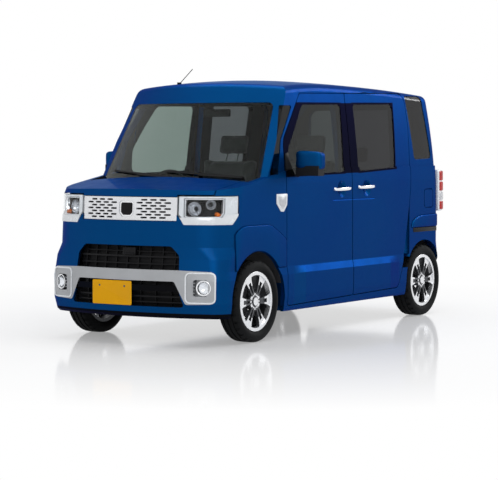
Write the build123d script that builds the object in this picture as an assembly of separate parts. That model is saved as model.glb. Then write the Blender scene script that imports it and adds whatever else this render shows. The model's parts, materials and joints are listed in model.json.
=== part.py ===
"""Tall-cabin kei car: body panels, glass, doors, running gear and cabin as separate pieces.

Millimetres.  -Y is the nose, +Y the tail, +X the car's left side, +Z up.  The origin lies on the
ground under the middle of the car.
"""
from build123d import *
import math
import os

os.makedirs("parts", exist_ok=True)

# ---------------------------------------------------------------- driving dimensions
LENGTH = 3395.0
WIDTH = 1475.0
WHEELBASE = 2455.0
FRONT_OVERHANG = 575.0
TREAD = 1300.0
ROOF_TOP = 1832.0            # highest point of the roof skin
TYRE_RADIUS = 281.5
TYRE_WIDTH = 165.0
RIM_RADIUS = 206.0           # outer edge of the rim lip
RIM_WIDTH = 150.0
DOOR_THICK = 45.0
WALL_THICK = 60.0            # pillars, rails and quarter panels
SKIN_THICK = 20.0            # fenders, bonnet, bumpers
ROOF_THICK = 25.0
GLASS_THICK = 5.0
SHUT_GAP = 6.0               # gap round every moving panel
DOOR_GAP = 8.0               # wider gap where the front door swings past the sliding door
FIT = 0.3                    # running clearance between curved faces that seat
FRONT_ARCH = 335.0            # radius of the wheel openings
REAR_ARCH = 315.0
SILL_BOTTOM = 188.0
ROOF_SEAM = 555.0            # half-width of the roof skin
SIDE_IN = 600.0              # nothing of the doors and side glass lies nearer the middle than this
PLATE_HOLE_SPACING = 210.0
PLATE_HOLE_RADIUS = 3.5

HALF = WIDTH / 2
NOSE = -LENGTH / 2
TAIL = LENGTH / 2
FRONT_AXLE = NOSE + FRONT_OVERHANG
REAR_AXLE = FRONT_AXLE + WHEELBASE
AXLE_Z = TYRE_RADIUS

# door shut lines, along the car
DOOR_FRONT = FRONT_AXLE + 380.0
DOOR_SPLIT = FRONT_AXLE + 1306.0

# body plan sections: height, how far the side, nose and tail stand in from the widest outline,
# and the plan radius of the nose corners
LOWER_SECTIONS = [
    (150, 37.5, 88, 32, 130), (205, 11.5, 22, 6, 130), (290, 0.5, 0, 0, 130), (445, 0, 0, 0, 130),
    (505, 10.5, 8, 8, 130), (585, 10.5, 22, 24, 145), (665, 10.5, 30, 24, 260), (850, 10.5, 38, 24, 270),
    (1010, 12.5, 48, 26, 270), (1085, 13.5, 96, 26, 270),
]
BELT_SECTIONS = [(1085, 13.5, 96, 26, 270), (1130, 27, 96, 30, 270)]     # the bright band under the windows
UPPER_SECTIONS = [(1130, 27, 96, 30, 270), (1320, 40, 96, 43, 270), (1560, 66, 96, 70, 270), (1860, 104, 96, 120, 270)]
HOOD_SECTIONS = [(1085, 13.5, 96, 26, 270), (1190, 20, 100, 30, 270)]
NOSE_BOW, TAIL_BOW = 2000.0, 3200.0      # plan radii of the nose and tail
TAIL_CORNER = 95.0                       # plan radius of the tail corners


# ---------------------------------------------------------------- outlines and prisms
def corner_points(a, b, c, r):
    """Start, middle and end of the arc of radius r that rounds corner b."""
    to_a, to_c = (a - b).normalized(), (c - b).normalized()
    half = math.acos(max(-1.0, min(1.0, to_a.dot(to_c)))) / 2
    if r <= 0 or half > math.pi / 2 - 1e-4:
        return [b]
    reach = r / math.tan(half)
    middle = b + (to_a + to_c).normalized() * (r / math.sin(half) - r)
    return [b + to_a * reach, middle, b + to_c * reach]


def outline(points):
    """Closed face through (u, v) or (u, v, corner radius) points."""
    flat = [Vector(p[0], p[1]) for p in points]
    count = len(flat)
    corners = [
        corner_points(flat[i - 1], flat[i], flat[(i + 1) % count], points[i][2] if len(points[i]) > 2 else 0)
        for i in range(count)
    ]
    edges = []
    for i, corner in enumerate(corners):
        if len(corner) == 3:
            edges.append(Edge.make_three_point_arc(*corner))
        following = corners[(i + 1) % count][0]
        if (following - corner[-1]).length > 1e-6:
            edges.append(Edge.make_line(corner[-1], following))
    return Face(Wire(edges))


def prism_x(points, x0, x1):
    """Prism along X over a (y, z) outline."""
    return extrude(Plane.YZ.offset(x0) * outline(points), amount=x1 - x0, dir=(1, 0, 0))


def prism_y(points, y0, y1):
    """Prism along Y over an (x, z) outline."""
    return extrude(Plane.XZ.offset(-y1) * outline(points), amount=y1 - y0, dir=(0, -1, 0))


def prism_z(points, z0, z1):
    """Prism along Z over an (x, y) outline."""
    return extrude(Plane.XY.offset(z0) * outline(points), amount=z1 - z0, dir=(0, 0, 1))


def block(x0, x1, y0, y1, z0, z1):
    return Pos((x0 + x1) / 2, (y0 + y1) / 2, (z0 + z1) / 2) * Box(abs(x1 - x0), abs(y1 - y0), abs(z1 - z0))


def rod(a, b, radius):
    """Round bar from point a to point b."""
    a, b = Vector(*a), Vector(*b)
    plane = Plane(origin=a, z_dir=b - a)
    return plane * Cylinder(radius, (b - a).length, align=(Align.CENTER, Align.CENTER, Align.MIN))


def jointed_rod(points, radius):
    """Thin arm that follows a list of points, round at its elbows."""
    arm = rod(points[0], points[1], radius)
    for a, b in zip(points[1:], points[2:]):
        arm = arm + Pos(*a) * Sphere(radius + 0.4) + rod(a, b, radius)
    return arm


def disc_x(x0, x1, y, z, radius):
    """Cylinder along X."""
    return rod((x0, y, z), (x1, y, z), radius)


def mirrored(shape):
    """The same piece on the car's other side."""
    return mirror(shape, about=Plane.YZ)


def both(shape):
    return [shape, mirrored(shape)]


def solids_of(shape):
    return [s for item in (shape if isinstance(shape, (list, tuple)) else [shape]) for s in item.solids()]


def save(name, *shapes):
    found = [s for shape in shapes for s in solids_of(shape)]
    export_step(found[0] if len(found) == 1 else Compound(found), f"parts/{name}.step")


# ---------------------------------------------------------------- body envelope
def plan_section(z, side_in, nose_in, tail_in, nose_corner, inset):
    """One horizontal section: bowed nose and tail, straight sides, round corners."""
    w, nose, tail = HALF - side_in - inset, NOSE + nose_in + inset, TAIL - tail_in - inset

    def corner(tip, bow, small, way):
        bow_centre = tip - way * bow
        xc = w - small
        yc = bow_centre + way * math.sqrt((bow - small) ** 2 - xc**2)
        out = Vector(xc, yc - bow_centre).normalized()
        half_way = (out + Vector(1, 0)).normalized()
        return (Vector(out.X * bow, bow_centre + out.Y * bow, z),
                Vector(xc + half_way.X * small, yc + half_way.Y * small, z), Vector(w, yc, z))

    flip = lambda v: Vector(-v.X, v.Y, v.Z)
    nose_end, nose_mid, side_front = corner(nose, NOSE_BOW - inset, max(nose_corner - inset, 20), -1)
    tail_end, tail_mid, side_rear = corner(tail, TAIL_BOW - inset, max(TAIL_CORNER - inset, 15), 1)
    arc, line = Edge.make_three_point_arc, Edge.make_line
    return Wire([
        arc(flip(nose_end), Vector(0, nose, z), nose_end), arc(nose_end, nose_mid, side_front),
        line(side_front, side_rear), arc(side_rear, tail_mid, tail_end),
        arc(tail_end, Vector(0, tail, z), flip(tail_end)), arc(flip(tail_end), flip(tail_mid), flip(side_rear)),
        line(flip(side_rear), flip(side_front)), arc(flip(side_front), flip(nose_mid), flip(nose_end)),
    ])


def tilted_cylinder(base, lean, radius, inset, back, length):
    """Cylinder whose top line runs through base at the given lean, with its skin moved in by inset."""
    along = Vector(0, math.cos(lean), math.sin(lean))
    up = Vector(0, -math.sin(lean), math.cos(lean))
    start = Vector(*base) - up * radius - along * back
    plane = Plane(origin=start, x_dir=(1, 0, 0), z_dir=along)
    return plane * Cylinder(radius - inset, length, align=(Align.CENTER, Align.CENTER, Align.MIN))


SCREEN_BASE = (0, NOSE + 522.5, 1088)    # foot of the windscreen on the centre line
SCREEN_LEAN = math.radians(90 - 31.6)
SCREEN_BOW = 1790.0
BELT_Z = 1085.0                          # level where the cabin's taper begins
HOOD_REAR = NOSE + 517
FIREWALL_Y = FRONT_AXLE + 110
COWL_HALF = 680.0                        # half-width of the cowl between bonnet and windscreen
HOOD_BASE = (0, NOSE + 75, 1053)         # bonnet's leading edge on the centre line
HOOD_LEAN = math.atan(0.172)
HOOD_CROWN = 8000.0
ROOF_BOW, ROOF_CROWN = 26000.0, 5000.0
ROOF_FRONT_BOW = 5200.0                  # the roof dips faster towards the windscreen
ROOF_PEAK_Y = -100.0
ROOF_EDGE = 60.0


def roof_block(inset):
    """Everything under the roof skin, bowed along the car and crowned across it."""
    top, wide = ROOF_TOP - inset, HALF + 160
    low = top - (ROOF_CROWN - math.sqrt(ROOF_CROWN**2 - wide**2))
    y = ROOF_PEAK_Y
    face = Face(Wire([
        Edge.make_three_point_arc(Vector(-wide, y, low), Vector(0, y, top), Vector(wide, y, low)),
        Edge.make_line(Vector(wide, y, low), Vector(wide, y, 0)), Edge.make_line(Vector(wide, y, 0), Vector(-wide, y, 0)),
        Edge.make_line(Vector(-wide, y, 0), Vector(-wide, y, low)),
    ]))
    rear_axis = Axis((0, y, top - ROOF_BOW), (1, 0, 0))
    front_axis = Axis((0, y, top - ROOF_FRONT_BOW), (1, 0, 0))
    rear = revolve(face.rotate(rear_axis, -6), axis=rear_axis, revolution_arc=6)
    front = revolve(face, axis=front_axis, revolution_arc=22)
    return rear + front


BODIES = {}


def body(inset):
    """The whole outer form, moved in by inset on every side but the floor."""
    if inset in BODIES:
        return BODIES[inset]
    lower = Solid.make_loft([plan_section(*s, inset) for s in LOWER_SECTIONS], ruled=True)
    hood = Solid.make_loft([plan_section(*s, inset) for s in HOOD_SECTIONS], ruled=True)
    belt = Solid.make_loft([plan_section(*s, inset) for s in BELT_SECTIONS], ruled=True)
    cabin = Solid.make_loft([plan_section(*s, inset) for s in UPPER_SECTIONS], ruled=False)
    screen = tilted_cylinder(SCREEN_BASE, SCREEN_LEAN, SCREEN_BOW, inset, 1500, 3600)
    bonnet_line = tilted_cylinder(HOOD_BASE, HOOD_LEAN, HOOD_CROWN, inset, 400, 4600)
    cabin = ((belt + cabin) & roof_block(inset)) & screen
    edge = ROOF_EDGE - inset
    if edge > 10:
        top_edges = [e for e in cabin.edges() if e.bounding_box().min.Z > ROOF_TOP - 140]
        cabin = cabin.solid().fillet(edge, top_edges)
    hood = hood - block(-COWL_HALF, COWL_HALF, HOOD_REAR + SHUT_GAP / 2, 2 * LENGTH, BELT_Z, 2 * LENGTH)
    front = (lower + hood) & bonnet_line
    BODIES[inset] = front + cabin
    return BODIES[inset]


def panel(zone, outer, inner):
    """The part of a zone that lies between two insets of the outer form."""
    return (body(outer) & zone) - body(inner)


FAR = 3000.0


# ---------------------------------------------------------------- side-view outlines
def door_top(y):
    return 1719.0 + (y - FRONT_AXLE - 650) * 0.022


FRONT_DOOR_LINE = [
    (DOOR_FRONT, 228, 25), (DOOR_SPLIT - DOOR_GAP / 2, 244, 12),
    (DOOR_SPLIT - DOOR_GAP / 2, door_top(DOOR_SPLIT), 12), (FRONT_AXLE + 667, door_top(FRONT_AXLE + 667), 30),
    (DOOR_FRONT, 1385, 120),
]
SLIDING_DOOR_LINE = [
    (DOOR_SPLIT + DOOR_GAP / 2, 244, 12), (REAR_AXLE - 450, 255, 45), (REAR_AXLE - 330, 539, 400),
    (REAR_AXLE - 232, 1000, 900), (REAR_AXLE - 200, 1500, 700), (REAR_AXLE - 215, door_top(REAR_AXLE - 215), 100),
    (DOOR_SPLIT + DOOR_GAP / 2, door_top(DOOR_SPLIT), 12),
]
FRONT_WINDOW = [
    (DOOR_FRONT + 55, 1140, 12), (DOOR_FRONT + 55, 1319, 90), (FRONT_AXLE + 683, 1642, 70),
    (DOOR_SPLIT - 76, 1652, 35), (DOOR_SPLIT - 104, 1156, 30),
]
SLIDING_WINDOW = [
    (DOOR_SPLIT + 114, 1158, 30), (DOOR_SPLIT + 110, 1656, 30), (REAR_AXLE - 420, 1668, 45),
    (REAR_AXLE - 460, 1182, 40),
]
QUARTER_WINDOW = [
    (REAR_AXLE - 133, 1240, 30), (REAR_AXLE - 180, 1600, 300), (REAR_AXLE - 205, 1738, 15),
    (REAR_AXLE + 76, 1742, 50), (REAR_AXLE + 158, 1248, 35),
]
DELTA_WINDOW = [
    (FRONT_AXLE + 170, 1140, 12), (FRONT_AXLE + 418, 1632, 12), (FRONT_AXLE + 545, 1632, 12),
    (FRONT_AXLE + 352, 1385, 60), (FRONT_AXLE + 290, 1150, 15),
]
FUEL_FLAP_LINE = [
    (REAR_AXLE + 5, 862, 25), (REAR_AXLE + 145, 862, 25), (REAR_AXLE + 145, 1002, 25), (REAR_AXLE + 5, 1002, 25),
]


def grown(points, by):
    """Outline moved outwards by a constant distance (inwards where by is negative)."""
    grown_face = offset(outline(points), amount=by, kind=Kind.ARC if by > 0 else Kind.INTERSECTION)
    return grown_face


def side_prism(points, by=0.0, x0=SIDE_IN, x1=FAR / 2):
    face = outline(points) if by == 0 else grown(points, by)
    return extrude(Plane.YZ.offset(x0) * face, amount=x1 - x0, dir=(1, 0, 0))


def arch_cut(axle_y, x0, x1):
    """Wheel-arch opening: a half-round top over a straight-sided mouth."""
    radius = FRONT_ARCH if axle_y == FRONT_AXLE else REAR_ARCH
    return disc_x(x0, x1, axle_y, AXLE_Z + 8, radius) + block(x0, x1, axle_y - radius, axle_y + radius, 0, AXLE_Z + 8)


# ---------------------------------------------------------------- doors and glass
GLASS_IN = 4.0                           # the glass lies this far inside the panels' outer skin


def window(zone):
    return panel(zone, GLASS_IN, GLASS_IN + GLASS_THICK)


front_window_zone = side_prism(FRONT_WINDOW)
sliding_window_zone = side_prism(SLIDING_WINDOW)
front_door = panel(side_prism(FRONT_DOOR_LINE), 0, DOOR_THICK) - front_window_zone
sliding_door = panel(side_prism(SLIDING_DOOR_LINE), 0, DOOR_THICK) - sliding_window_zone
front_glass = window(front_window_zone)
POCKET_RADIUS, POCKET_DEPTH = 62.0, 20.0
FRONT_POCKET_Y, REAR_POCKET_Y, POCKET_Z = DOOR_SPLIT - 154, DOOR_SPLIT + 219, 1032.0


def finger_pocket(y):
    """Round hollow behind a door handle."""
    ball = (POCKET_RADIUS**2 + POCKET_DEPTH**2) / (2 * POCKET_DEPTH)
    return Pos(HALF - 13 + ball - POCKET_DEPTH, y, POCKET_Z) * Sphere(ball)


front_door = front_door - finger_pocket(FRONT_POCKET_Y)
sliding_door = sliding_door - finger_pocket(REAR_POCKET_Y)

for side, flip in (("left", lambda s: s), ("right", mirrored)):
    save(f"front_door_{side}", flip(front_door))
    save(f"sliding_door_{side}", flip(sliding_door))
    save(f"front_door_glass_{side}", flip(front_glass))
save("sliding_door_glass", both(window(sliding_window_zone)))
save("fixed_side_glass", both(window(side_prism(QUARTER_WINDOW))), both(window(side_prism(DELTA_WINDOW))))

# ---------------------------------------------------------------- windscreen and roof
SCREEN_FOOT_Z, SCREEN_TOP_Z = BELT_Z, 1652.0
screen_line = [(-672, SCREEN_FOOT_Z, 25), (672, SCREEN_FOOT_Z, 25), (596, SCREEN_TOP_Z, 45), (-596, SCREEN_TOP_Z, 45)]
screen_zone = prism_y(screen_line, HOOD_REAR + SHUT_GAP, FRONT_AXLE + 700)
windscreen = panel(screen_zone, 0, GLASS_THICK)
save("windscreen", windscreen)

TAILGATE_CUT = TAIL - 175.0              # roof's rear edge
ROOF_FRONT = FRONT_AXLE + 350
roof_zone = block(-ROOF_SEAM, ROOF_SEAM, ROOF_FRONT - 100, TAILGATE_CUT - SHUT_GAP, SCREEN_TOP_Z - 60, FAR)
roof_panel = panel(roof_zone, 0, ROOF_THICK) - screen_zone
save("roof_panel", roof_panel)

# ---------------------------------------------------------------- tailgate
TAILGATE_LINE = [(-612, 470, 30), (612, 470, 30), (612, 1085, 60), (560, FAR - 800, 0), (-560, FAR - 800, 0),
                 (-612, 1085, 60)]
TAILGATE_WINDOW = [(-510, 1150, 60), (510, 1150, 60), (470, 1640, 70), (-470, 1640, 70)]
REAR_PLATE_Z = 760.0
tailgate_zone = prism_y(TAILGATE_LINE, TAILGATE_CUT, FAR)
tailgate_window_zone = prism_y(TAILGATE_WINDOW, REAR_AXLE, FAR)
tailgate = panel(tailgate_zone, 0, DOOR_THICK) - tailgate_window_zone
for sx in (-1, 1):
    x = sx * PLATE_HOLE_SPACING / 2
    tailgate = tailgate - rod((x, TAIL - 200, REAR_PLATE_Z), (x, FAR, REAR_PLATE_Z), PLATE_HOLE_RADIUS)
save("tailgate", tailgate)
save("tailgate_glass", window(tailgate_window_zone))
tailgate_opening = prism_y(
    [(-612 - SHUT_GAP, 0), (612 + SHUT_GAP, 0), (612 + SHUT_GAP, 1085, 60), (560 + SHUT_GAP, FAR - 800),
     (-560 - SHUT_GAP, FAR - 800), (-612 - SHUT_GAP, 1085, 60)], TAILGATE_CUT - SHUT_GAP, FAR)

# ---------------------------------------------------------------- body sides
REAR_BUMPER_TOP = 470.0 - SHUT_GAP       # rear bumper's upper edge under the tailgate
REAR_BUMPER_FRONT = REAR_AXLE + 255
LAMP_LINE = [(REAR_AXLE + 245, 825, 20), (FAR, 825), (FAR, 1158), (REAR_AXLE + 245, 1158, 30)]
BEAM_DEPTH = WALL_THICK + 40
HINGE_LOW, HINGE_HIGH = 440.0, 900.0     # levels of the front door hinges
RAIL_Z = 692.0                           # level of the sliding door's rail slot


def beam_zone(y0, y1):
    """Side rail between the door tops and the roof seam."""
    return prism_x([(y0, door_top(y0) + SHUT_GAP), (y1, door_top(y1) + SHUT_GAP), (y1, FAR), (y0, FAR)],
                   ROOF_SEAM, FAR / 2)


door_gaps = side_prism(FRONT_DOOR_LINE, SHUT_GAP) + side_prism(SLIDING_DOOR_LINE, SHUT_GAP)
roof_rail = panel(beam_zone(FRONT_AXLE + 300, TAIL), 0, BEAM_DEPTH)
pillar_a = panel(block(500, FAR, HOOD_REAR + SHUT_GAP, FRONT_AXLE + 800, BELT_Z, FAR), 0, WALL_THICK)
pillar_a = pillar_a - block(0, ROOF_SEAM, ROOF_FRONT - 100, FAR, SCREEN_TOP_Z - 60, FAR)
quarter = panel(block(300, FAR, REAR_AXLE - 250, FAR, SILL_BOTTOM, FAR), 0, WALL_THICK)
quarter = quarter - block(0, ROOF_SEAM, 0, FAR, 1700, FAR)
sill = panel(prism_x([(DOOR_FRONT - SHUT_GAP, SILL_BOTTOM), (REAR_AXLE - 240, SILL_BOTTOM), (REAR_AXLE - 240, 400),
                      (DOOR_FRONT - SHUT_GAP, 400)], 500, FAR / 2), 0, BEAM_DEPTH)
outer_side = (roof_rail + pillar_a + quarter + sill) - door_gaps

ring = panel(prism_x([(DOOR_FRONT - 60, 230), (REAR_AXLE - 150, 230), (REAR_AXLE - 150, 1790),
                      (DOOR_FRONT - 60, 1790)], 450, FAR / 2), DOOR_THICK + SHUT_GAP, BEAM_DEPTH)
ring = ring - side_prism(FRONT_DOOR_LINE, -55) - side_prism(SLIDING_DOOR_LINE, -60)
ring = ring - block(0, FAR, -FAR, DOOR_FRONT + 60, BELT_Z - 1, 1600) - block(0, SIDE_IN - 70, -FAR, FAR, 1600, FAR)
hinge_post = panel(block(500, FAR, DOOR_FRONT - 60, DOOR_FRONT - 20, 230, BELT_Z - 1), SKIN_THICK, BEAM_DEPTH)

body_side = outer_side + ring + hinge_post
for z in (HINGE_LOW, HINGE_HIGH):        # the front door's hinges bear on its inner face
    body_side = body_side + panel(block(500, FAR, DOOR_FRONT + 4, DOOR_FRONT + 40, z - 30, z + 30),
                                  DOOR_THICK + FIT, BEAM_DEPTH)
body_side = body_side - panel(block(-FAR, ROOF_SEAM, ROOF_FRONT - 100, FAR, SCREEN_TOP_Z - 60, FAR), 0, ROOF_THICK)
for cut in (screen_zone, tailgate_opening, arch_cut(REAR_AXLE, 0, FAR), side_prism(QUARTER_WINDOW),
            side_prism(DELTA_WINDOW), prism_x(LAMP_LINE, 560, FAR),
            block(0, FAR, REAR_BUMPER_FRONT, FAR, 0, REAR_BUMPER_TOP),
            block(0, FAR, -FAR, DOOR_FRONT - 60, 0, BELT_Z - 1)):
    body_side = body_side - cut
rail_slot = block(HALF - 26, FAR, REAR_AXLE - 190, REAR_AXLE + 333, RAIL_Z - 14, RAIL_Z + 14)
body_side = body_side - rail_slot
flap_pocket = side_prism(FUEL_FLAP_LINE, SHUT_GAP) - body(SKIN_THICK + FIT)
save("body_side_left", body_side - flap_pocket)
save("body_side_right", mirrored(body_side))
save("fuel_flap", panel(side_prism(FUEL_FLAP_LINE), 0, SKIN_THICK))

# ---------------------------------------------------------------- nose panels
LAMP_BOTTOM = 843.0
HOOD_GAP_X = 631.0                       # bonnet's half-width
BUMPER_REAR = NOSE + 257                 # joint of bumper and fender
LAMP_INNER = 396.0
LAMP_TOP = 1012.0
LAMP_REAR = NOSE + 345                   # the lamp wraps round to here on the fender
LAMP_CHAMFER = 38.0
LAMP_DEPTH = 95.0
LENS_THICK = 4.0
LAMP_RIM = 12.0                          # wall of the lamp housing


def lamp_block(by):
    """The room a headlamp fills, moved in by a distance on every side but the front."""
    plan = prism_z([(LAMP_INNER + 5 + by, NOSE - 50), (LAMP_INNER + 5 + by, NOSE + 120), (HOOD_GAP_X + 6, BUMPER_REAR + 30 - by),
                    (HOOD_GAP_X + 60, LAMP_REAR - by), (HALF + 20, LAMP_REAR - by), (HALF + 20, NOSE - 50)],
                   LAMP_BOTTOM + by, LAMP_TOP - by)
    inner_cut = prism_y([(LAMP_INNER, LAMP_BOTTOM + by), (LAMP_INNER + LAMP_CHAMFER + by, LAMP_BOTTOM + by),
                         (LAMP_INNER, LAMP_BOTTOM + LAMP_CHAMFER + 2 * by)], NOSE - 50, NOSE + 400)
    outer_cut = prism_x([(LAMP_REAR, LAMP_BOTTOM + by), (LAMP_REAR - LAMP_CHAMFER - by, LAMP_BOTTOM + by),
                         (LAMP_REAR, LAMP_BOTTOM + LAMP_CHAMFER + 2 * by)], 600, HALF + 20)
    return plan - inner_cut - outer_cut


lamp_zone = lamp_block(0)
hood_zone = block(-HOOD_GAP_X, HOOD_GAP_X, NOSE - 50, HOOD_REAR, 1004, FAR)
for flip in (lambda s: s, mirrored):
    hood_zone = hood_zone - flip(block(LAMP_INNER - 1, FAR, NOSE - 50, NOSE + 500, 0, LAMP_TOP + SHUT_GAP))
save("bonnet", panel(hood_zone, 0, SKIN_THICK))
save("headlamps", both(panel(lamp_zone, 0, LENS_THICK)))
lamp_housing = panel(lamp_zone, LENS_THICK + FIT, LAMP_DEPTH) - panel(lamp_block(LAMP_RIM), 0, LAMP_DEPTH - LAMP_RIM)
save("headlamp_housings", both(lamp_housing))

fender_zone = block(HOOD_GAP_X + SHUT_GAP, FAR, BUMPER_REAR, DOOR_FRONT - SHUT_GAP, SILL_BOTTOM, FAR)
fender_zone = fender_zone + block(HOOD_GAP_X + SHUT_GAP, FAR, NOSE - 50, BUMPER_REAR + 1, LAMP_TOP + 1, FAR)
fender_zone = fender_zone - block(0, FAR, HOOD_REAR + SHUT_GAP, FAR, BELT_Z, FAR) - lamp_zone
fender_zone = fender_zone - arch_cut(FRONT_AXLE, 300, FAR)
save("front_fenders", both(panel(fender_zone, 0, SKIN_THICK)))

cowl = block(-COWL_HALF, COWL_HALF, HOOD_REAR + SHUT_GAP, FIREWALL_Y + 15, BELT_Z - 25, BELT_Z) & body(0)
cowl = cowl - panel(fender_zone, 0, SKIN_THICK) - mirrored(panel(fender_zone, 0, SKIN_THICK))
save("cowl_panel", cowl)

# bumper with its upper intake, lower intake and lamp pockets
GRILLE_LINE = [(-393, LAMP_BOTTOM), (393, LAMP_BOTTOM), (393, 1000), (-393, 1000)]
UPPER_INTAKE = [(-432, 505, 8), (432, 505, 8), (424, 612, 40), (362, 672, 40), (-362, 672, 40), (-424, 612, 40)]
LOWER_INTAKE = [(-474, 264, 20), (474, 264, 20), (404, 444, 20), (-404, 444, 20)]
FOG_X, FOG_Z, FOG_HALF = 596.0, 396.0, 62.0
GARNISH_LINE = [(-680, 290, 40), (-480, 283, 25), (-400, 438, 25), (400, 438, 25), (480, 283, 25), (680, 290, 40),
                (672, 505, 30), (425, 513, 10), (-425, 513, 10), (-672, 505, 30)]
garnish_zone = prism_y(GARNISH_LINE, NOSE - 50, NOSE + 250)
fog_line = [(FOG_X - FOG_HALF, FOG_Z - FOG_HALF, 25), (FOG_X + FOG_HALF, FOG_Z - FOG_HALF, 25),
            (FOG_X + FOG_HALF, FOG_Z + FOG_HALF, 25), (FOG_X - FOG_HALF, FOG_Z + FOG_HALF, 25)]
fog_zone = prism_y(fog_line, NOSE - 50, NOSE + 300)
bumper_zone = block(-FAR, FAR, NOSE - 50, BUMPER_REAR, SILL_BOTTOM, LAMP_BOTTOM + LAMP_CHAMFER)
bumper_zone = bumper_zone - block(-LAMP_INNER, LAMP_INNER, NOSE - 50, FAR, LAMP_BOTTOM, FAR) - lamp_zone
bumper_zone = bumper_zone - mirrored(lamp_zone) - arch_cut(FRONT_AXLE, -FAR, FAR) - garnish_zone
bumper_zone = bumper_zone - prism_y(UPPER_INTAKE, NOSE - 50, NOSE + 300) - prism_y(LOWER_INTAKE, NOSE - 50, NOSE + 300)
front_bumper = panel(bumper_zone, 0, SKIN_THICK)
PLATE_X, PLATE_Z = -90.0, 350.0
# the plate's bracket bar crosses the lower intake
plate_bar = panel(block(-440, 440, NOSE - 50, NOSE + 300, PLATE_Z + 20, PLATE_Z + 60), 6, SKIN_THICK)
front_bumper = front_bumper + plate_bar
for sx in (-1, 1):
    x = PLATE_X + sx * PLATE_HOLE_SPACING / 2
    front_bumper = front_bumper - rod((x, NOSE - 50, PLATE_Z + 45), (x, NOSE + 100, PLATE_Z + 45), PLATE_HOLE_RADIUS)
save("front_bumper", front_bumper)
garnish = panel(garnish_zone, 0, 16) - fog_zone - mirrored(fog_zone)
save("bumper_garnish", garnish - front_bumper)
save("fog_lamps", both(panel(fog_zone, 4, 50) - front_bumper))

# grille: rows of long hexagonal slots, every second row set over by half a pitch, round an eight-sided recess
SLOT_ROWS, SLOT_PITCH_X, SLOT_PITCH_Z = 7, 72.0, 20.0
SLOT_HALF, SLOT_HIGH = 27.0, 6.0
BADGE_HALF, BADGE_CUT = 62.0, 26.0
GRILLE_Z = (LAMP_BOTTOM + 1000) / 2
grille = panel(prism_y(GRILLE_LINE, NOSE - 50, NOSE + 200), 8, 26)
slots = []
for row in range(SLOT_ROWS):
    z = GRILLE_Z + (row - (SLOT_ROWS - 1) / 2) * SLOT_PITCH_Z
    shift = SLOT_PITCH_X / 2 if row % 2 else 0
    for column in range(-5, 6):
        x = column * SLOT_PITCH_X + shift
        if abs(x) > 386 - SLOT_HALF or abs(x) < BADGE_HALF + SLOT_HALF + 6:
            continue
        slots.append(prism_y([(x - SLOT_HALF, z), (x - SLOT_HALF + SLOT_HIGH, z - SLOT_HIGH),
                              (x + SLOT_HALF - SLOT_HIGH, z - SLOT_HIGH), (x + SLOT_HALF, z),
                              (x + SLOT_HALF - SLOT_HIGH, z + SLOT_HIGH), (x - SLOT_HALF + SLOT_HIGH, z + SLOT_HIGH)],
                             NOSE - 50, NOSE + 250))
badge = [(-BADGE_HALF, GRILLE_Z + 40), (-BADGE_HALF, GRILLE_Z - 58 + BADGE_CUT), (-BADGE_HALF + BADGE_CUT, GRILLE_Z - 58),
         (BADGE_HALF - BADGE_CUT, GRILLE_Z - 58), (BADGE_HALF, GRILLE_Z - 58 + BADGE_CUT), (BADGE_HALF, GRILLE_Z + 40),
         (BADGE_HALF - 12, GRILLE_Z + 52), (-BADGE_HALF + 12, GRILLE_Z + 52)]
grille = grille - slots - panel(prism_y(badge, NOSE - 50, NOSE + 200), 0, 18)
save("front_grille", grille)

# ---------------------------------------------------------------- front structure, engine and radiator
HOUSE_IN = 400.0                         # inner wall of the front wheelhouses
STRUT_TOP = (480.0, FRONT_AXLE, 800.0)
BALL_JOINT = (600.0, FRONT_AXLE, 190.0)
STRUT_RADIUS = 24.0
FLOOR_TOP, FLOOR_THICK = 300.0, 30.0

firewall = block(-590, 590, FIREWALL_Y + 230, FIREWALL_Y + 245, FLOOR_TOP - FLOOR_THICK, 640)
firewall = firewall + block(-590, 590, FIREWALL_Y, FIREWALL_Y + 245, 625, 640) + block(
    -590, 590, FIREWALL_Y, FIREWALL_Y + 15, 640, BELT_Z - 25)
structure = firewall & body(BEAM_DEPTH)
for sx in (-1, 1):
    liner = disc_x(HOUSE_IN, HALF, FRONT_AXLE, AXLE_Z + 8, FRONT_ARCH + 8) - disc_x(0, FAR, FRONT_AXLE, AXLE_Z + 8, FRONT_ARCH)
    liner = (liner & block(0, FAR, FRONT_AXLE - 400, DOOR_FRONT - 60, AXLE_Z + 8, FAR)) & body(SKIN_THICK)
    wall = block(HOUSE_IN - 8, HOUSE_IN, FRONT_AXLE - FRONT_ARCH, FIREWALL_Y + 4, 330, 790)
    wall = wall + block(HOUSE_IN - 8, HOUSE_IN, FIREWALL_Y, FIREWALL_Y + 235, 330, 632)
    tower = block(HOUSE_IN - 8, 560, FRONT_AXLE - 75, FRONT_AXLE + 75, 776, 790) + block(
        HOUSE_IN - 8, 560, FRONT_AXLE - 75, FRONT_AXLE - 63, AXLE_Z + 330, 790) + block(
        HOUSE_IN - 8, 560, FRONT_AXLE + 63, FRONT_AXLE + 75, AXLE_Z + 330, 790)
    strut_hole = rod((BALL_JOINT[0], FRONT_AXLE, BALL_JOINT[2]), STRUT_TOP, STRUT_RADIUS + FIT)
    strut_room = rod((BALL_JOINT[0], FRONT_AXLE, BALL_JOINT[2]), (BALL_JOINT[0] - 112, FRONT_AXLE, 760), 56)
    rail = block(HOUSE_IN - 68, HOUSE_IN - 8, NOSE + 140, FIREWALL_Y + 240, 340, 420)
    part_side = (liner - strut_room) + wall + tower + rail
    part_side = part_side - strut_hole
    structure = structure + (part_side if sx > 0 else mirrored(part_side))
support = block(-HOUSE_IN + 8, HOUSE_IN - 8, NOSE + 140, NOSE + 165, 755, 800)
posts = [block(sx * 330, sx * 370, NOSE + 140, NOSE + 165, 400, 780) for sx in (-1, 1)]
beam = block(-520, 520, NOSE + 70, NOSE + 110, 440, 500) & body(SKIN_THICK)
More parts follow.
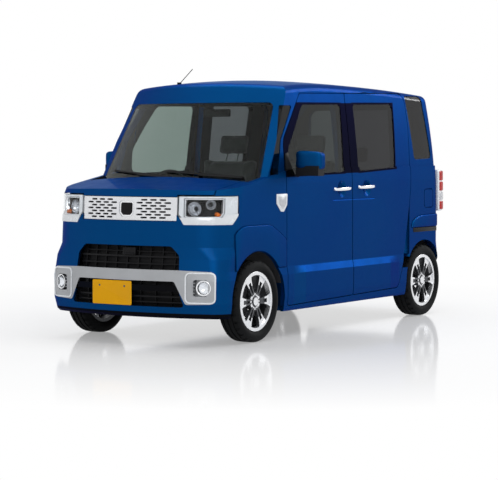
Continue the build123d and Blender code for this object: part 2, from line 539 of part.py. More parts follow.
stays = [block(sx * 340, sx * 380, NOSE + 90, NOSE + 150, 400, 480) for sx in (-1, 1)]
structure = structure + support + posts[0] + posts[1] + beam + stays[0] + stays[1]
latch = block(-45, 45, NOSE + 140, NOSE + 165, 790, FAR) & body(SKIN_THICK + FIT)   # the bonnet rests on it
save("front_structure", structure + latch)
save("radiator", block(-329, 329, NOSE + 145, NOSE + 175, 425, 754.7))
engine = block(-310, 200, NOSE + 230, FIREWALL_Y - 40, 300, 800)
mount_reach = HOUSE_IN - 8 - FIT         # the engine's two mounts reach the bay's side walls
engine = engine + block(-mount_reach, mount_reach, FRONT_AXLE - 160, FRONT_AXLE - 110, 500, 560)
save("engine", engine)

# ---------------------------------------------------------------- floor, tank, exhaust
REAR_HOUSE_IN = 545.0
CARGO_Z = 560.0
floor_line = [(FIREWALL_Y + 245, FLOOR_TOP - FLOOR_THICK), (FRONT_AXLE + 1800, FLOOR_TOP - FLOOR_THICK),
              (REAR_AXLE - 330, CARGO_Z - 30), (TAIL - 95, CARGO_Z - 30), (TAIL - 95, CARGO_Z),
              (REAR_AXLE - 345, CARGO_Z), (FRONT_AXLE + 1785, FLOOR_TOP), (FIREWALL_Y + 245, FLOOR_TOP)]
floor_pan = prism_x(floor_line, -640, 640)
house = disc_x(REAR_HOUSE_IN - 6, HALF, REAR_AXLE, AXLE_Z + 8, REAR_ARCH + 6) - disc_x(
    REAR_HOUSE_IN, FAR, REAR_AXLE, AXLE_Z + 8, REAR_ARCH)
house = (house & block(0, FAR, -FAR, FAR, AXLE_Z + 8, FAR)) - block(0, 560, REAR_AXLE - 60, REAR_AXLE + 60, 0, 420)
house_room = block(REAR_HOUSE_IN - 6, FAR, REAR_AXLE - REAR_ARCH - 6, REAR_AXLE + REAR_ARCH + 6, 0, AXLE_Z + REAR_ARCH + 20)
for flip in (lambda s: s, mirrored):
    floor_pan = (floor_pan - flip(house_room)) + flip((house & body(WALL_THICK)))
striker = block(-45, 45, TAIL - 96, TAIL, CARGO_Z - 30, CARGO_Z) & body(DOOR_THICK + FIT)   # tailgate catch
floor_pan = (floor_pan & body(BEAM_DEPTH - 30)) + striker - body_side - mirrored(body_side)
save("floor_pan", floor_pan)
save("fuel_tank", prism_y([(-300, 180, 40), (300, 180, 40), (300, 269.7, 25), (-300, 269.7, 25)], FRONT_AXLE + 1230, FRONT_AXLE + 1750))
exhaust = jointed_rod([(100, FIREWALL_Y - 39.7, 330), (100, FIREWALL_Y + 25, 330), (130, FIREWALL_Y + 100, 232),
                       (420, FRONT_AXLE + 500, 232), (420, REAR_AXLE + 70, 232)], 24)
exhaust = exhaust + prism_y([(200, 200, 40), (500, 200, 40), (500, 330, 40), (200, 330, 40)], REAR_AXLE + 60, REAR_AXLE + 230)
exhaust = exhaust + rod((420, REAR_AXLE + 200, 232), (420, TAIL - 75, 232), 22)
save("exhaust", exhaust)

# ---------------------------------------------------------------- rear bumper and lamps
rear_zone = block(-FAR, FAR, REAR_BUMPER_FRONT, FAR, SILL_BOTTOM + 20, REAR_BUMPER_TOP) - arch_cut(REAR_AXLE, -FAR, FAR)
save("rear_bumper", panel(rear_zone, 0, 40))
lamp_side = panel(prism_x(LAMP_LINE, 560, FAR), 0, WALL_THICK) - tailgate_opening
save("tail_lamps", both(lamp_side))

# ---------------------------------------------------------------- mirrors, wipers, antenna
def screen_point(x, z, out):
    """Point on the windscreen's outer face, moved outwards by out."""
    slope = math.pi / 2 - SCREEN_LEAN
    foot = SCREEN_BASE[1] + (z - SCREEN_BASE[2]) * math.tan(slope)
    bow = (SCREEN_BOW - math.sqrt(SCREEN_BOW**2 - x**2)) / math.cos(slope)
    return (x, foot + bow - out * math.cos(slope), z + out * math.sin(slope))


def mirror_piece():
    head = Pos(842, FRONT_AXLE + 505, 1236) * Box(205, 95, 128)
    head = fillet(head.edges(), 28)
    arm = block(700, 800, FRONT_AXLE + 470, FRONT_AXLE + 520, 1140, 1180)
    sail = panel(side_prism([(DOOR_FRONT + 8, 1105, 5), (DOOR_FRONT + 150, 1105, 5), (DOOR_FRONT + 150, 1135, 20),
                             (DOOR_FRONT + 60, 1240, 30), (DOOR_FRONT + 8, 1240, 10)]), -12, 0)
    return head + (arm - body(0)) + sail


front_mirror = mirror_piece()
save("door_mirror_left", front_mirror)
save("door_mirror_right", mirrored(front_mirror))


def bowed_rod(start, middle, end, radius):
    """Thin round bar along the arc through three points."""
    line = Edge.make_three_point_arc(Vector(*start), Vector(*middle), Vector(*end))
    return sweep(Plane(origin=line @ 0, z_dir=line % 0) * Circle(radius), path=line)


PIVOT_RADIUS = 9.0
wipers = []
for pivot_x, tip_x in ((560, -30), (30, -560)):
    arm = bowed_rod(screen_point(pivot_x, 1122, 15), screen_point((pivot_x + tip_x) / 2, 1142, 12),
                    screen_point(tip_x, 1162, 12), 6)
    seat_out = 0.6 + PIVOT_RADIUS * abs(pivot_x) / SCREEN_BOW
    pivot = rod(screen_point(pivot_x, 1122, seat_out), screen_point(pivot_x, 1122, 24), PIVOT_RADIUS)
    wipers.append(arm + pivot)
save("front_wipers", *wipers)


def tailgate_y(x, z):
    """Outer face of the tailgate glass at (x, z), between the belt and the next section above."""
    low, high = UPPER_SECTIONS[0], UPPER_SECTIONS[1]
    share = (z - low[0]) / (high[0] - low[0])
    return TAIL - low[3] - share * (high[3] - low[3]) - x * x / (2 * TAIL_BOW)


rear_arm = bowed_rod(*[(x, tailgate_y(x, z) + 14, z) for x, z in ((0, 1118), (-165, 1144), (-330, 1170))], 6)
rear_pivot = rod((0, tailgate_y(0, 1118) + 1.6, 1118), (0, tailgate_y(0, 1118) + 20, 1118), 14)
save("rear_wiper", rear_arm + rear_pivot)


def roof_z(x, y):
    """Height of the roof skin ahead of its peak."""
    return ROOF_TOP - x * x / (2 * ROOF_CROWN) - (y - ROOF_PEAK_Y) ** 2 / (2 * ROOF_FRONT_BOW)


AERIAL = (-255, FRONT_AXLE + 470, roof_z(-255, FRONT_AXLE + 470))
save("roof_antenna", (rod(AERIAL, (AERIAL[0], AERIAL[1] + 170, AERIAL[2] + 115), 3) + Pos(*AERIAL) * Cylinder(16, 26)) - body(0))

# ---------------------------------------------------------------- cabin
DRIVER_X = -345.0
dash_line = [(FIREWALL_Y + 15, 800, 30), (FRONT_AXLE + 390, 760, 40), (FRONT_AXLE + 420, 900, 60), (FRONT_AXLE + 360, 1065, 60),
             (FIREWALL_Y + 15, 1085, 20)]
dashboard = prism_x(dash_line, -612, 612) & body(BEAM_DEPTH + 2)
column_way = Vector(0, math.cos(math.radians(28)), math.sin(math.radians(28)))
wheel_centre = Vector(DRIVER_X, FRONT_AXLE + 560, 1000)
column_hole = rod(tuple(wheel_centre - column_way * 260), tuple(wheel_centre), 22 + FIT)
save("dashboard", dashboard - column_hole)
wheel_plane = Plane(origin=wheel_centre, z_dir=column_way)
steering = wheel_plane * Torus(180, 14) + rod(tuple(wheel_centre - column_way * 230), tuple(wheel_centre), 22)
steering = steering + wheel_plane * Box(340, 44, 16) + wheel_plane * Cylinder(50, 30)
save("steering_wheel", steering)


def seat(x, y, width, floor):
    """Front seat: base, cushion, back and headrest in one solid; y is the cushion's front edge."""
    cushion = prism_x([(y, 560, 60), (y + 500, 540, 40), (y + 500, 660, 40), (y + 20, 690, 50)], x - width / 2, x + width / 2)
    back = prism_x([(y + 440, 620, 50), (y + 560, 620, 50), (y + 700, 1240, 45), (y + 600, 1260, 40)], x - width / 2, x + width / 2)
    rest = prism_x([(y + 635, 1285, 30), (y + 725, 1275, 30), (y + 755, 1430, 35), (y + 670, 1440, 35)], x - 130, x + 130)
    post = rod((x - 50, y + 650, 1220), (x - 50, y + 695, 1330), 6) + rod((x + 50, y + 650, 1220), (x + 50, y + 695, 1330), 6)
    base = block(x - 190, x + 190, y + 80, y + 430, floor, 570)
    return cushion + back + rest + post + base


save("driver_seat", seat(DRIVER_X, FRONT_AXLE + 640, 500, FLOOR_TOP))
save("passenger_seat", seat(-DRIVER_X, FRONT_AXLE + 640, 500, FLOOR_TOP))
rear_y = FRONT_AXLE + 1480
rear_cushion = prism_x([(rear_y, 560, 50), (rear_y + 470, 540, 40), (rear_y + 470, 650, 40), (rear_y + 20, 680, 50)], -530, 530)
rear_back = prism_x([(rear_y + 420, 620, 45), (rear_y + 520, 620, 45), (rear_y + 630, 1180, 40), (rear_y + 545, 1200, 40)], -530, 530)
rear_base = block(-480, 480, rear_y + 60, rear_y + 300, FLOOR_TOP, 570)
rests = [prism_x([(rear_y + 575, 1215, 25), (rear_y + 650, 1208, 25), (rear_y + 675, 1340, 30), (rear_y + 605, 1350, 30)], sx * 290 - 120, sx * 290 + 120)
         + rod((sx * 290 - 45, rear_y + 590, 1150), (sx * 290 - 45, rear_y + 628, 1260), 6)
         + rod((sx * 290 + 45, rear_y + 590, 1150), (sx * 290 + 45, rear_y + 628, 1260), 6) for sx in (-1, 1)]
save("rear_seat", rear_cushion + rear_back + rear_base + rests[0] + rests[1])

# ---------------------------------------------------------------- wheels and suspension
RIM_HALF = 65.0
BEAD_HALF = 57.0
BARREL_RADIUS = 190.0
BARREL_WALL = 8.0
TRACK_HALF = TREAD / 2


def revolved_x(profile, x, y, z):
    """Ring about an X axle at (x, y, z) from an (along axle, radius) outline."""
    face = Plane.XZ * outline(profile)
    return Pos(x, y, z) * revolve(face, axis=Axis((0, 0, 0), (1, 0, 0)))


def tyre(x, y):
    w = TYRE_WIDTH / 2
    bead, bore = BEAD_HALF - FIT, BARREL_RADIUS + FIT
    return revolved_x([(-bead, bore), (bead, bore), (bead, RIM_RADIUS + 1),
                       (BEAD_HALF + 9, RIM_RADIUS + 3, 3), (w, BARREL_RADIUS + 46, 30), (w - 10, TYRE_RADIUS - 5, 22), (w - 40, TYRE_RADIUS, 60),
                       (-w + 40, TYRE_RADIUS, 60), (-w + 10, TYRE_RADIUS - 5, 22), (-w, BARREL_RADIUS + 46, 30),
                       (-BEAD_HALF - 9, RIM_RADIUS + 3, 3), (-bead, RIM_RADIUS + 1)], x, y, AXLE_Z)


SPOKES = 6
SPOKE_FACE, SPOKE_BACK = 57.0, 33.0      # the spokes' faces, from the wheel's middle plane
SPOKE_ARM = [(-17, 50), (17, 50), (24, 120), (30, 150), (45, 183.5), (-45, 183.5), (-30, 150), (-24, 120)]
SPOKE_GROOVE = [(-5, 60, 3), (5, 60, 3), (16, 146, 5), (-16, 146, 5)]
GROOVE_DEPTH = 13.0
HUB_RADIUS, LUG_CIRCLE, LUG_RADIUS = 66.0, 50.0, 9.5


def spoke_prism(points, turn, x0, x1, x, y):
    """Prism along the axle over an outline given in (across, outwards), turned about the axle."""
    c, s = math.cos(turn), math.sin(turn)
    turned = [(y + p[0] * c + p[1] * s, AXLE_Z - p[0] * s + p[1] * c) + tuple(p[2:]) for p in points]
    return prism_x(turned, x + x0, x + x1)


def wheel(x, y):
    """Left wheel: barrel with lips, hub with four nuts, and six grooved spokes that widen to the rim."""
    barrel = revolved_x([(-RIM_HALF, BARREL_RADIUS - BARREL_WALL), (RIM_HALF, BARREL_RADIUS - BARREL_WALL),
                         (RIM_HALF, RIM_RADIUS, 3), (BEAD_HALF, RIM_RADIUS, 2), (BEAD_HALF, BARREL_RADIUS),
                         (-BEAD_HALF, BARREL_RADIUS), (-BEAD_HALF, RIM_RADIUS, 2), (-RIM_HALF, RIM_RADIUS, 3)],
                        x, y, AXLE_Z)
    result = barrel + disc_x(x + SPOKE_BACK + 7, x + SPOKE_FACE - 3, y, AXLE_Z, HUB_RADIUS)
    for i in range(SPOKES):
        turn = math.tau * (i + 0.5) / SPOKES
        arm = spoke_prism(SPOKE_ARM, turn, SPOKE_BACK, SPOKE_FACE, x, y)
        result = result + (arm - spoke_prism(SPOKE_GROOVE, turn, SPOKE_FACE - GROOVE_DEPTH, SPOKE_FACE + 1, x, y))
    for i in range(4):
        lug_y = y + LUG_CIRCLE * math.sin(math.tau * i / 4)
        lug_z = AXLE_Z + LUG_CIRCLE * math.cos(math.tau * i / 4)
        result = result - disc_x(x + SPOKE_FACE - 15, x + SPOKE_FACE + 1, lug_y, lug_z, LUG_RADIUS + 4)
        nut = Plane.YZ.offset(x + SPOKE_FACE - 15) * RegularPolygon(LUG_RADIUS, 6)
        result = result + Pos(0, lug_y, lug_z) * extrude(nut, amount=11, dir=(1, 0, 0))
    return result + disc_x(x + SPOKE_FACE - 8, x + SPOKE_FACE + 4, y, AXLE_Z, 28)


WHEELS = (("front_left", 1, FRONT_AXLE), ("front_right", -1, FRONT_AXLE), ("rear_left", 1, REAR_AXLE), ("rear_right", -1, REAR_AXLE))
front_wheel, rear_wheel = wheel(TRACK_HALF, FRONT_AXLE), wheel(TRACK_HALF, REAR_AXLE)
for name, sx, y in WHEELS:
    one = front_wheel if y == FRONT_AXLE else rear_wheel
    save(f"wheel_{name}", one if sx > 0 else mirrored(one))
    save(f"tyre_{name}", tyre(sx * TRACK_HALF, y))

ball, top = Vector(*BALL_JOINT), Vector(*STRUT_TOP)
kingpin = (top - ball).normalized()
strut_foot = ball + kingpin * 190
knuckle = Pos(*BALL_JOINT) * Sphere(15) + rod(BALL_JOINT, tuple(ball + kingpin * 60), 13)
knuckle = knuckle + block(560, 640, FRONT_AXLE - 45, FRONT_AXLE + 45, 225, 345) + rod((600, FRONT_AXLE, AXLE_Z), (TRACK_HALF + 39.7, FRONT_AXLE, AXLE_Z), 45)
knuckle = knuckle + block(540, 600, FRONT_AXLE - 30, FRONT_AXLE + 30, 320, 430) + rod(tuple(ball + kingpin * 130), tuple(top), STRUT_RADIUS)
save("front_knuckle_left", knuckle)
save("front_knuckle_right", mirrored(knuckle))

subframe = block(-330, 330, FRONT_AXLE - 20, FRONT_AXLE + 140, 200, 240)
for sx in (-1, 1):
    arm = prism_z([(290, FRONT_AXLE + 120, 10), (290, FRONT_AXLE - 20, 10), (610, FRONT_AXLE - 22, 18), (622, FRONT_AXLE + 22, 18),
                   (560, FRONT_AXLE + 24, 20)], 176, 200) - Pos(*BALL_JOINT) * Sphere(15 + FIT) - rod(BALL_JOINT, (BALL_JOINT[0], BALL_JOINT[1], 260), 17)
    subframe = subframe + block(sx * 320, sx * 383, FRONT_AXLE + 20, FRONT_AXLE + 100, 200, 340) + (arm if sx > 0 else mirrored(arm))
save("front_subframe", subframe)

axle = rod((-515, REAR_AXLE - 190, 300), (515, REAR_AXLE - 190, 300), 32)
for sx in (-1, 1):
    trailing = prism_x([(REAR_AXLE - 400, 240, 20), (REAR_AXLE - 400, 300, 20), (REAR_AXLE - 190, 345, 30), (REAR_AXLE + 50, 320, 20),
                        (REAR_AXLE + 50, 240, 20)], 500, 535)
    trailing = trailing + rod((510, REAR_AXLE, AXLE_Z), (TRACK_HALF + 39.7, REAR_AXLE, AXLE_Z), 40)
    trailing = trailing + rod((508, REAR_AXLE + 10, 300), (508, REAR_AXLE + 10, CARGO_Z - 30.3), 24)
    axle = axle + (trailing if sx > 0 else mirrored(trailing))
save("rear_axle", axle)
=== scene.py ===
# %% [markdown]
# # A small tall car, dressed for a show
# The body panels, doors, lamps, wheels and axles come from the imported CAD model. This lesson gives them
# their finishes, and adds the pieces that are easier to shape as meshes: seats, tyres, lamp insides,
# handles, wipers and the number plate.
#
# Everything is in metres, with the nose towards -Y, the car's left side towards +X and the ground at z = 0.

# %% Load the frame
import json
import math

import bmesh
import bpy
from mathutils import Matrix, Vector


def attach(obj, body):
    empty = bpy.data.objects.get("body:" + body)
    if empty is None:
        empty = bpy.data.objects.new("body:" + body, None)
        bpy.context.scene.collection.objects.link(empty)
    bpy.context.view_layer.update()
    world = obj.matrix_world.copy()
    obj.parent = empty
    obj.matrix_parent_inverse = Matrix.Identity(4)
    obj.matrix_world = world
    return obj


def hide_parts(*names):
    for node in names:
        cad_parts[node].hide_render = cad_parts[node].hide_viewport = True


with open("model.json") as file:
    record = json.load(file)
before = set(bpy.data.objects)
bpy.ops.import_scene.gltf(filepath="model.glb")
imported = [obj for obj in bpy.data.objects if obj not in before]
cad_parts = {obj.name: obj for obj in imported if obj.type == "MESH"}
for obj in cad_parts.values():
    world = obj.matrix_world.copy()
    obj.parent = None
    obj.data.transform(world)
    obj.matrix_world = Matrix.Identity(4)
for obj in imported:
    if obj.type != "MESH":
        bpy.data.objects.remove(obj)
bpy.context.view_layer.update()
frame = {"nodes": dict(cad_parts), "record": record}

# %% [markdown]
# ## Camera
# A long lens a good way off keeps the car's sides nearly parallel. The camera looks down by three degrees
# and is turned by a little more than a third of a right angle, so that the nose and the left side both show.

# %% Camera
IMAGE_WIDTH = 498
FOCAL_PIXELS = 1846.3
camera_data = bpy.data.cameras.new("camera")
camera_data.sensor_width = 36
camera_data.lens = FOCAL_PIXELS / IMAGE_WIDTH * camera_data.sensor_width
camera = bpy.data.objects.new("camera", camera_data)
bpy.context.scene.collection.objects.link(camera)
turn, dip = math.radians(32.85), math.radians(2.87)
camera.location = (7.510, -11.740, 1.335)
aim = Vector((-math.sin(turn) * math.cos(dip), math.cos(turn) * math.cos(dip), -math.sin(dip)))
camera.rotation_euler = aim.to_track_quat("-Z", "Y").to_euler()
bpy.context.scene.camera = camera
print("lens", round(camera_data.lens, 1), "mm")

# %% [markdown]
# ## Materials in short sentences
# Every finish is one Principled shader with a few texture nodes in front of it. The small class below
# holds the material, its Object coordinates and the node calls, so that a finish reads like a recipe.
# Object coordinates are metres on the piece itself, so a grain keeps its real size.

# %% The recipe helper
class Recipe:
    """A material whose nodes are added by short calls."""

    def __init__(self, name, **values):
        self.material = bpy.data.materials.new(name)
        self.material.use_nodes = True
        self.nodes, self.links = self.material.node_tree.nodes, self.material.node_tree.links
        self.shader = self.nodes["Principled BSDF"]
        coordinates = self.nodes.new("ShaderNodeTexCoord")
        self.place = coordinates.outputs["Object"]
        self.x, self.y, self.z = self.parts_of(self.place)
        self.facing = self.parts_of(coordinates.outputs["Normal"])
        for socket, value in values.items():
            self.put(socket.replace("_", " ").title().replace("Ior", "IOR"), value)

    def parts_of(self, vector):
        split = self.nodes.new("ShaderNodeSeparateXYZ")
        self.links.new(vector, split.inputs[0])
        return tuple(split.outputs)

    def put(self, socket, value):
        """Set or link one of the shader's sockets."""
        if isinstance(value, bpy.types.NodeSocket):
            self.links.new(value, self.shader.inputs[socket])
        else:
            self.shader.inputs[socket].default_value = (*value, 1) if isinstance(value, tuple) else value

    def math(self, operation, *values):
        node = self.nodes.new("ShaderNodeMath")
        node.operation = operation
        for socket, value in zip(node.inputs, values):
            if isinstance(value, bpy.types.NodeSocket):
                self.links.new(value, socket)
            else:
                socket.default_value = value
        return node.outputs[0]

    def times(self, first, second):
        return self.math("MULTIPLY", first, second)

    def plus(self, first, second):
        return self.math("ADD", first, second)

    def minus(self, first, second):
        return self.math("SUBTRACT", first, second)

    def most(self, first, second):
        return self.math("MAXIMUM", first, second)

    def above(self, value, limit):
        return self.math("GREATER_THAN", value, limit)

    def below(self, value, limit):
        return self.math("LESS_THAN", value, limit)

    def far(self, value, centre=0.0):
        """Distance from a centre along one axis."""
        return self.math("ABSOLUTE", self.minus(value, centre) if centre else value)

    def radius(self, first, second):
        """Length of the two together, as in a right-angled triangle."""
        return self.math("SQRT", self.plus(self.math("POWER", first, 2.0), self.math("POWER", second, 2.0)))

    def waves(self, value, pace):
        return self.math("SINE", self.times(value, pace))

    def level(self, value, low, high, to_low=0.0, to_high=1.0):
        """Map low..high to to_low..to_high, held at the ends."""
        node = self.nodes.new("ShaderNodeMapRange")
        self.links.new(value, node.inputs[0])
        for socket, number in zip(node.inputs[1:5], (low, high, to_low, to_high)):
            socket.default_value = number
        return node.outputs[0]

    def stretched(self, scale):
        node = self.nodes.new("ShaderNodeMapping")
        self.links.new(self.place, node.inputs["Vector"])
        node.inputs["Scale"].default_value = scale
        return node.outputs[0]

    def noise(self, scale, detail=3.0, stretch=None):
        node = self.nodes.new("ShaderNodeTexNoise")
        self.links.new(self.stretched(stretch) if stretch else self.place, node.inputs["Vector"])
        node.inputs["Scale"].default_value = scale
        node.inputs["Detail"].default_value = detail
        return node.outputs["Fac"]

    def cells(self, scale, output="Distance"):
        node = self.nodes.new("ShaderNodeTexVoronoi")
        self.links.new(self.place, node.inputs["Vector"])
        node.inputs["Scale"].default_value = scale
        return node.outputs[output]

    def mix(self, share, first, second):
        """Colour first where share is 0, second where it is 1."""
        node = self.nodes.new("ShaderNodeMix")
        node.data_type = "RGBA"
        for socket, value in ((node.inputs[0], share), (node.inputs[6], first), (node.inputs[7], second)):
            if isinstance(value, bpy.types.NodeSocket):
                self.links.new(value, socket)
            else:
                socket.default_value = (*value, 1) if isinstance(value, tuple) else value
        return node.outputs[2]

    def bump(self, height, distance, strength=1.0):
        node = self.nodes.new("ShaderNodeBump")
        node.inputs["Distance"].default_value = distance
        node.inputs["Strength"].default_value = strength
        self.links.new(height, node.inputs["Height"])
        self.put("Normal", node.outputs[0])

    def inside(self, outline, grow=0.0):
        """1 inside a convex outline of (y, z) points moved out by grow, and 0 outside it."""
        middle = (sum(p[0] for p in outline) / len(outline), sum(p[1] for p in outline) / len(outline))
        furthest = None
        for (ya, za), (yb, zb) in zip(outline, outline[1:] + outline[:1]):
            long = math.hypot(yb - ya, zb - za)
            out_y, out_z = (zb - za) / long, (ya - yb) / long
            if (middle[0] - ya) * out_y + (middle[1] - za) * out_z > 0:
                out_y, out_z = -out_y, -out_z
            along = self.plus(self.times(self.y, out_y), self.times(self.z, out_z))
            side = self.minus(along, ya * out_y + za * out_z)
            furthest = side if furthest is None else self.most(furthest, side)
        return self.below(furthest, grow)

    def either(self, *masks):
        result = masks[0]
        for mask in masks[1:]:
            result = self.most(result, mask)
        return result


print("recipe helper ready")

# %% [markdown]
# ## Car paint
# Car paint is a thin coloured coat with metal flakes under a clear lacquer. The shader's coat is the
# lacquer, and a fine cell pattern makes some flakes lighter than others. The black frames of the side
# windows and the band between the doors are film on the same panels, so they are masks in this recipe:
# convex outlines in the side view. The panels' inner faces get the dark colour of the trim.

# %% Car paint
BODY_HALF, TRACK_HALF = 0.7375, 0.650
FRONT_AXLE_Y, REAR_AXLE_Y, AXLE_Z = -1.1225, 1.3325, 0.2815
FRONT_WINDOW = [(-0.760, 1.140), (-0.760, 1.380), (-0.515, 1.642), (0.1075, 1.652), (0.0795, 1.156)]
SLIDING_WINDOW = [(0.2975, 1.158), (0.2935, 1.656), (0.9125, 1.668), (0.8725, 1.182)]
PILLAR_BAND = [(0.0695, 1.146), (0.0995, 1.662), (0.3000, 1.666), (0.3040, 1.148)]
PAINT_BLUE = (0.0003, 0.043, 0.165)
PAINT_DEEP = (0.0003, 0.028, 0.125)
PAINT_LIGHT = (0.0006, 0.095, 0.250)
METAL_SHARE = 0.85
PEEL_HEIGHT = 0.00002
TRIM_BLACK, TRIM_GREY, TRIM_ROUGH = (0.004, 0.004, 0.005), (0.030, 0.030, 0.032), 0.6
FILM_EDGE = 0.014
LEDGE_LOW, LEDGE_HIGH, LEDGE_RISE = 0.450, 0.500, 0.020
TRAY_Z, TRAY_HALF, TRAY_DEPTH = 0.952, 0.006, -0.0030
LIP_TOP = 0.222
BAR_HALF, BAR_LOW, BAR_HIGH = 0.438, 0.300, 0.440


def car_paint(name, black=None, inner=None, creases=None):
    """Blue paint; black and inner are functions that give a mask from the recipe."""
    recipe = Recipe(name, metallic=METAL_SHARE, coat_weight=0.06, coat_roughness=0.02, coat_ior=1.35,
                    specular_ior_level=0.02, specular_tint=(0.02, 0.30, 0.60))
    flakes = recipe.level(recipe.cells(2600, "Distance"), 0.1, 0.75)
    colour = recipe.mix(flakes, PAINT_LIGHT, PAINT_DEEP)
    colour = recipe.mix(recipe.level(recipe.noise(1.3, 1), 0.3, 0.7, 0.25, 0.75), colour, PAINT_BLUE)
    rough = recipe.level(recipe.noise(9, 3), 0.3, 0.7, 0.36, 0.44)
    if black:
        colour = recipe.mix(black(recipe), colour, TRIM_BLACK)
    if inner:
        mask = inner(recipe)
        colour = recipe.mix(mask, colour, TRIM_GREY)
        rough = recipe.most(rough, recipe.level(mask, 0, 1, 0, TRIM_ROUGH))
    recipe.put("Base Color", colour)
    recipe.put("Roughness", rough)
    skin = recipe.times(recipe.noise(420, 2), PEEL_HEIGHT)
    if creases:
        skin = recipe.plus(skin, creases(recipe))
    recipe.bump(skin, 1.0)
    return recipe.material


def door_creases(recipe):
    """Height of the doors' pressed lines: a ledge low down and a faint groove under the handles."""
    ends = recipe.times(recipe.level(recipe.y, -0.66, -0.50), recipe.level(recipe.y, 0.90, 0.76))
    ledge = recipe.times(recipe.level(recipe.z, LEDGE_LOW, LEDGE_HIGH, LEDGE_RISE, 0.0), ends)
    ends = recipe.times(recipe.level(recipe.y, -0.112, -0.092), recipe.level(recipe.y, 0.530, 0.510))
    line = recipe.level(recipe.far(recipe.z, TRAY_Z), 0.0, TRAY_HALF, TRAY_DEPTH, 0.0)
    return recipe.plus(ledge, recipe.times(line, ends))


def door_black(recipe):
    return recipe.either(recipe.inside(FRONT_WINDOW, FILM_EDGE), recipe.inside(SLIDING_WINDOW, FILM_EDGE),
                         recipe.inside(PILLAR_BAND))


def cabin_side(recipe):
    """1 on the faces that look into the cabin."""
    return recipe.below(recipe.times(recipe.x, recipe.facing[0]), -0.2)


def roof_inner(recipe):
    return recipe.below(recipe.facing[2], -0.3)


def tail_inner(recipe):
    return recipe.below(recipe.facing[1], -0.3)


def bumper_black(recipe):
    """The lip under the bumper and the bar behind the number plate."""
    tall = recipe.times(recipe.above(recipe.z, BAR_LOW), recipe.below(recipe.z, BAR_HIGH))
    bar = recipe.times(recipe.below(recipe.far(recipe.x), BAR_HALF), tall)
    return recipe.either(recipe.below(recipe.z, LIP_TOP), bar)


paint_plain = car_paint("paint_plain")
paint_door = car_paint("paint_door", door_black, cabin_side, door_creases)
paint_side = car_paint("paint_side", None, cabin_side)
paint_bumper = car_paint("paint_bumper", bumper_black)
print("paints:", [m.name for m in (paint_plain, paint_door, paint_side, paint_bumper)])

# %% [markdown]
# ## Glass, plastic, metal and rubber
# Window glass is clear and slightly green in front and smoked behind, so only its tint differs. Moulded
# plastic has a fine leather-like grain, cast metal a coarser one, and rubber a dusty one. The wheels are
# painted dark and then machined bright on their outer faces: the mask is the distance along the axle.

# %% Glass
def glass(name, tint, rough=0.0):
    recipe = Recipe(name, transmission_weight=1.0, ior=1.22)
    haze = recipe.level(recipe.noise(14, 4), 0.45, 0.8, rough, rough + 0.02)
    recipe.put("Roughness", haze)
    recipe.put("Base Color", recipe.mix(recipe.noise(3, 1), tint, tuple(0.94 * part for part in tint)))
    return recipe.material


glass_clear = glass("glass_clear", (0.72, 0.80, 0.77))
glass_side = glass("glass_side", (0.25, 0.30, 0.28))
glass_dark = glass("glass_dark", (0.10, 0.105, 0.115))
glass_lamp = glass("glass_lamp", (0.97, 0.985, 1.0))
print("glass ready")


# %% Plastic, metal and rubber
def moulded(name, colour, rough=0.5, grain=900, depth=0.00012, metallic=0.0, light=1.35):
    """Satin material with a fine grain in its colour, roughness and surface."""
    recipe = Recipe(name, metallic=metallic, specular_ior_level=0.12)
    speckle = recipe.noise(grain, 3)
    patch = recipe.noise(7, 3)
    lighter = tuple(min(1, light * part) for part in colour)
    recipe.put("Base Color", recipe.mix(recipe.level(patch, 0.3, 0.7), colour, lighter))
    worn = recipe.plus(recipe.times(speckle, 0.5), patch)
    recipe.put("Roughness", recipe.level(worn, 0.5, 1.0, rough - 0.06, rough + 0.08))
    recipe.bump(speckle, depth, 0.6)
    return recipe.material


black_plastic = moulded("black_plastic", (0.008, 0.008, 0.009), 0.45)
gloss_black = moulded("gloss_black", (0.006, 0.006, 0.007), 0.16, 300, 0.00003)
trim_plastic = moulded("trim_plastic", (0.020, 0.020, 0.021), 0.6)
cast_metal = moulded("cast_metal", (0.10, 0.10, 0.105), 0.5, 500, 0.0003, 0.7)
core_metal = moulded("core_metal", (0.045, 0.045, 0.048), 0.5, 700, 0.0002, 0.5)
bright_silver = moulded("bright_silver", (0.74, 0.75, 0.77), 0.26, 600, 0.00003, 0.75, 1.08)
frame_white = moulded("frame_white", (0.80, 0.82, 0.84), 0.24, 600, 0.00002, 0.30, 1.05)
satin_silver = moulded("satin_silver", (0.36, 0.37, 0.385), 0.36, 1600, 0.00004, 0.70, 1.10)
chrome = moulded("chrome", (0.82, 0.83, 0.85), 0.08, 200, 0.00001, 1.0, 1.04)
rubber = moulded("rubber", (0.018, 0.018, 0.019), 0.72, 1200, 0.0002)
facet_chrome = moulded("facet_chrome", (0.40, 0.41, 0.43), 0.16, 60, 0.004, 1.0, 1.5)
plate_yellow = moulded("plate_yellow", (0.90, 0.43, 0.005), 0.38, 500, 0.00004, 0.0, 1.05)
amber = moulded("amber", (0.75, 0.16, 0.01), 0.2, 300, 0.00003)
seal_rubber = moulded("seal_rubber", (0.012, 0.012, 0.013), 0.65)


NUT_RING, NUT_RADIUS = 0.050, 0.0096


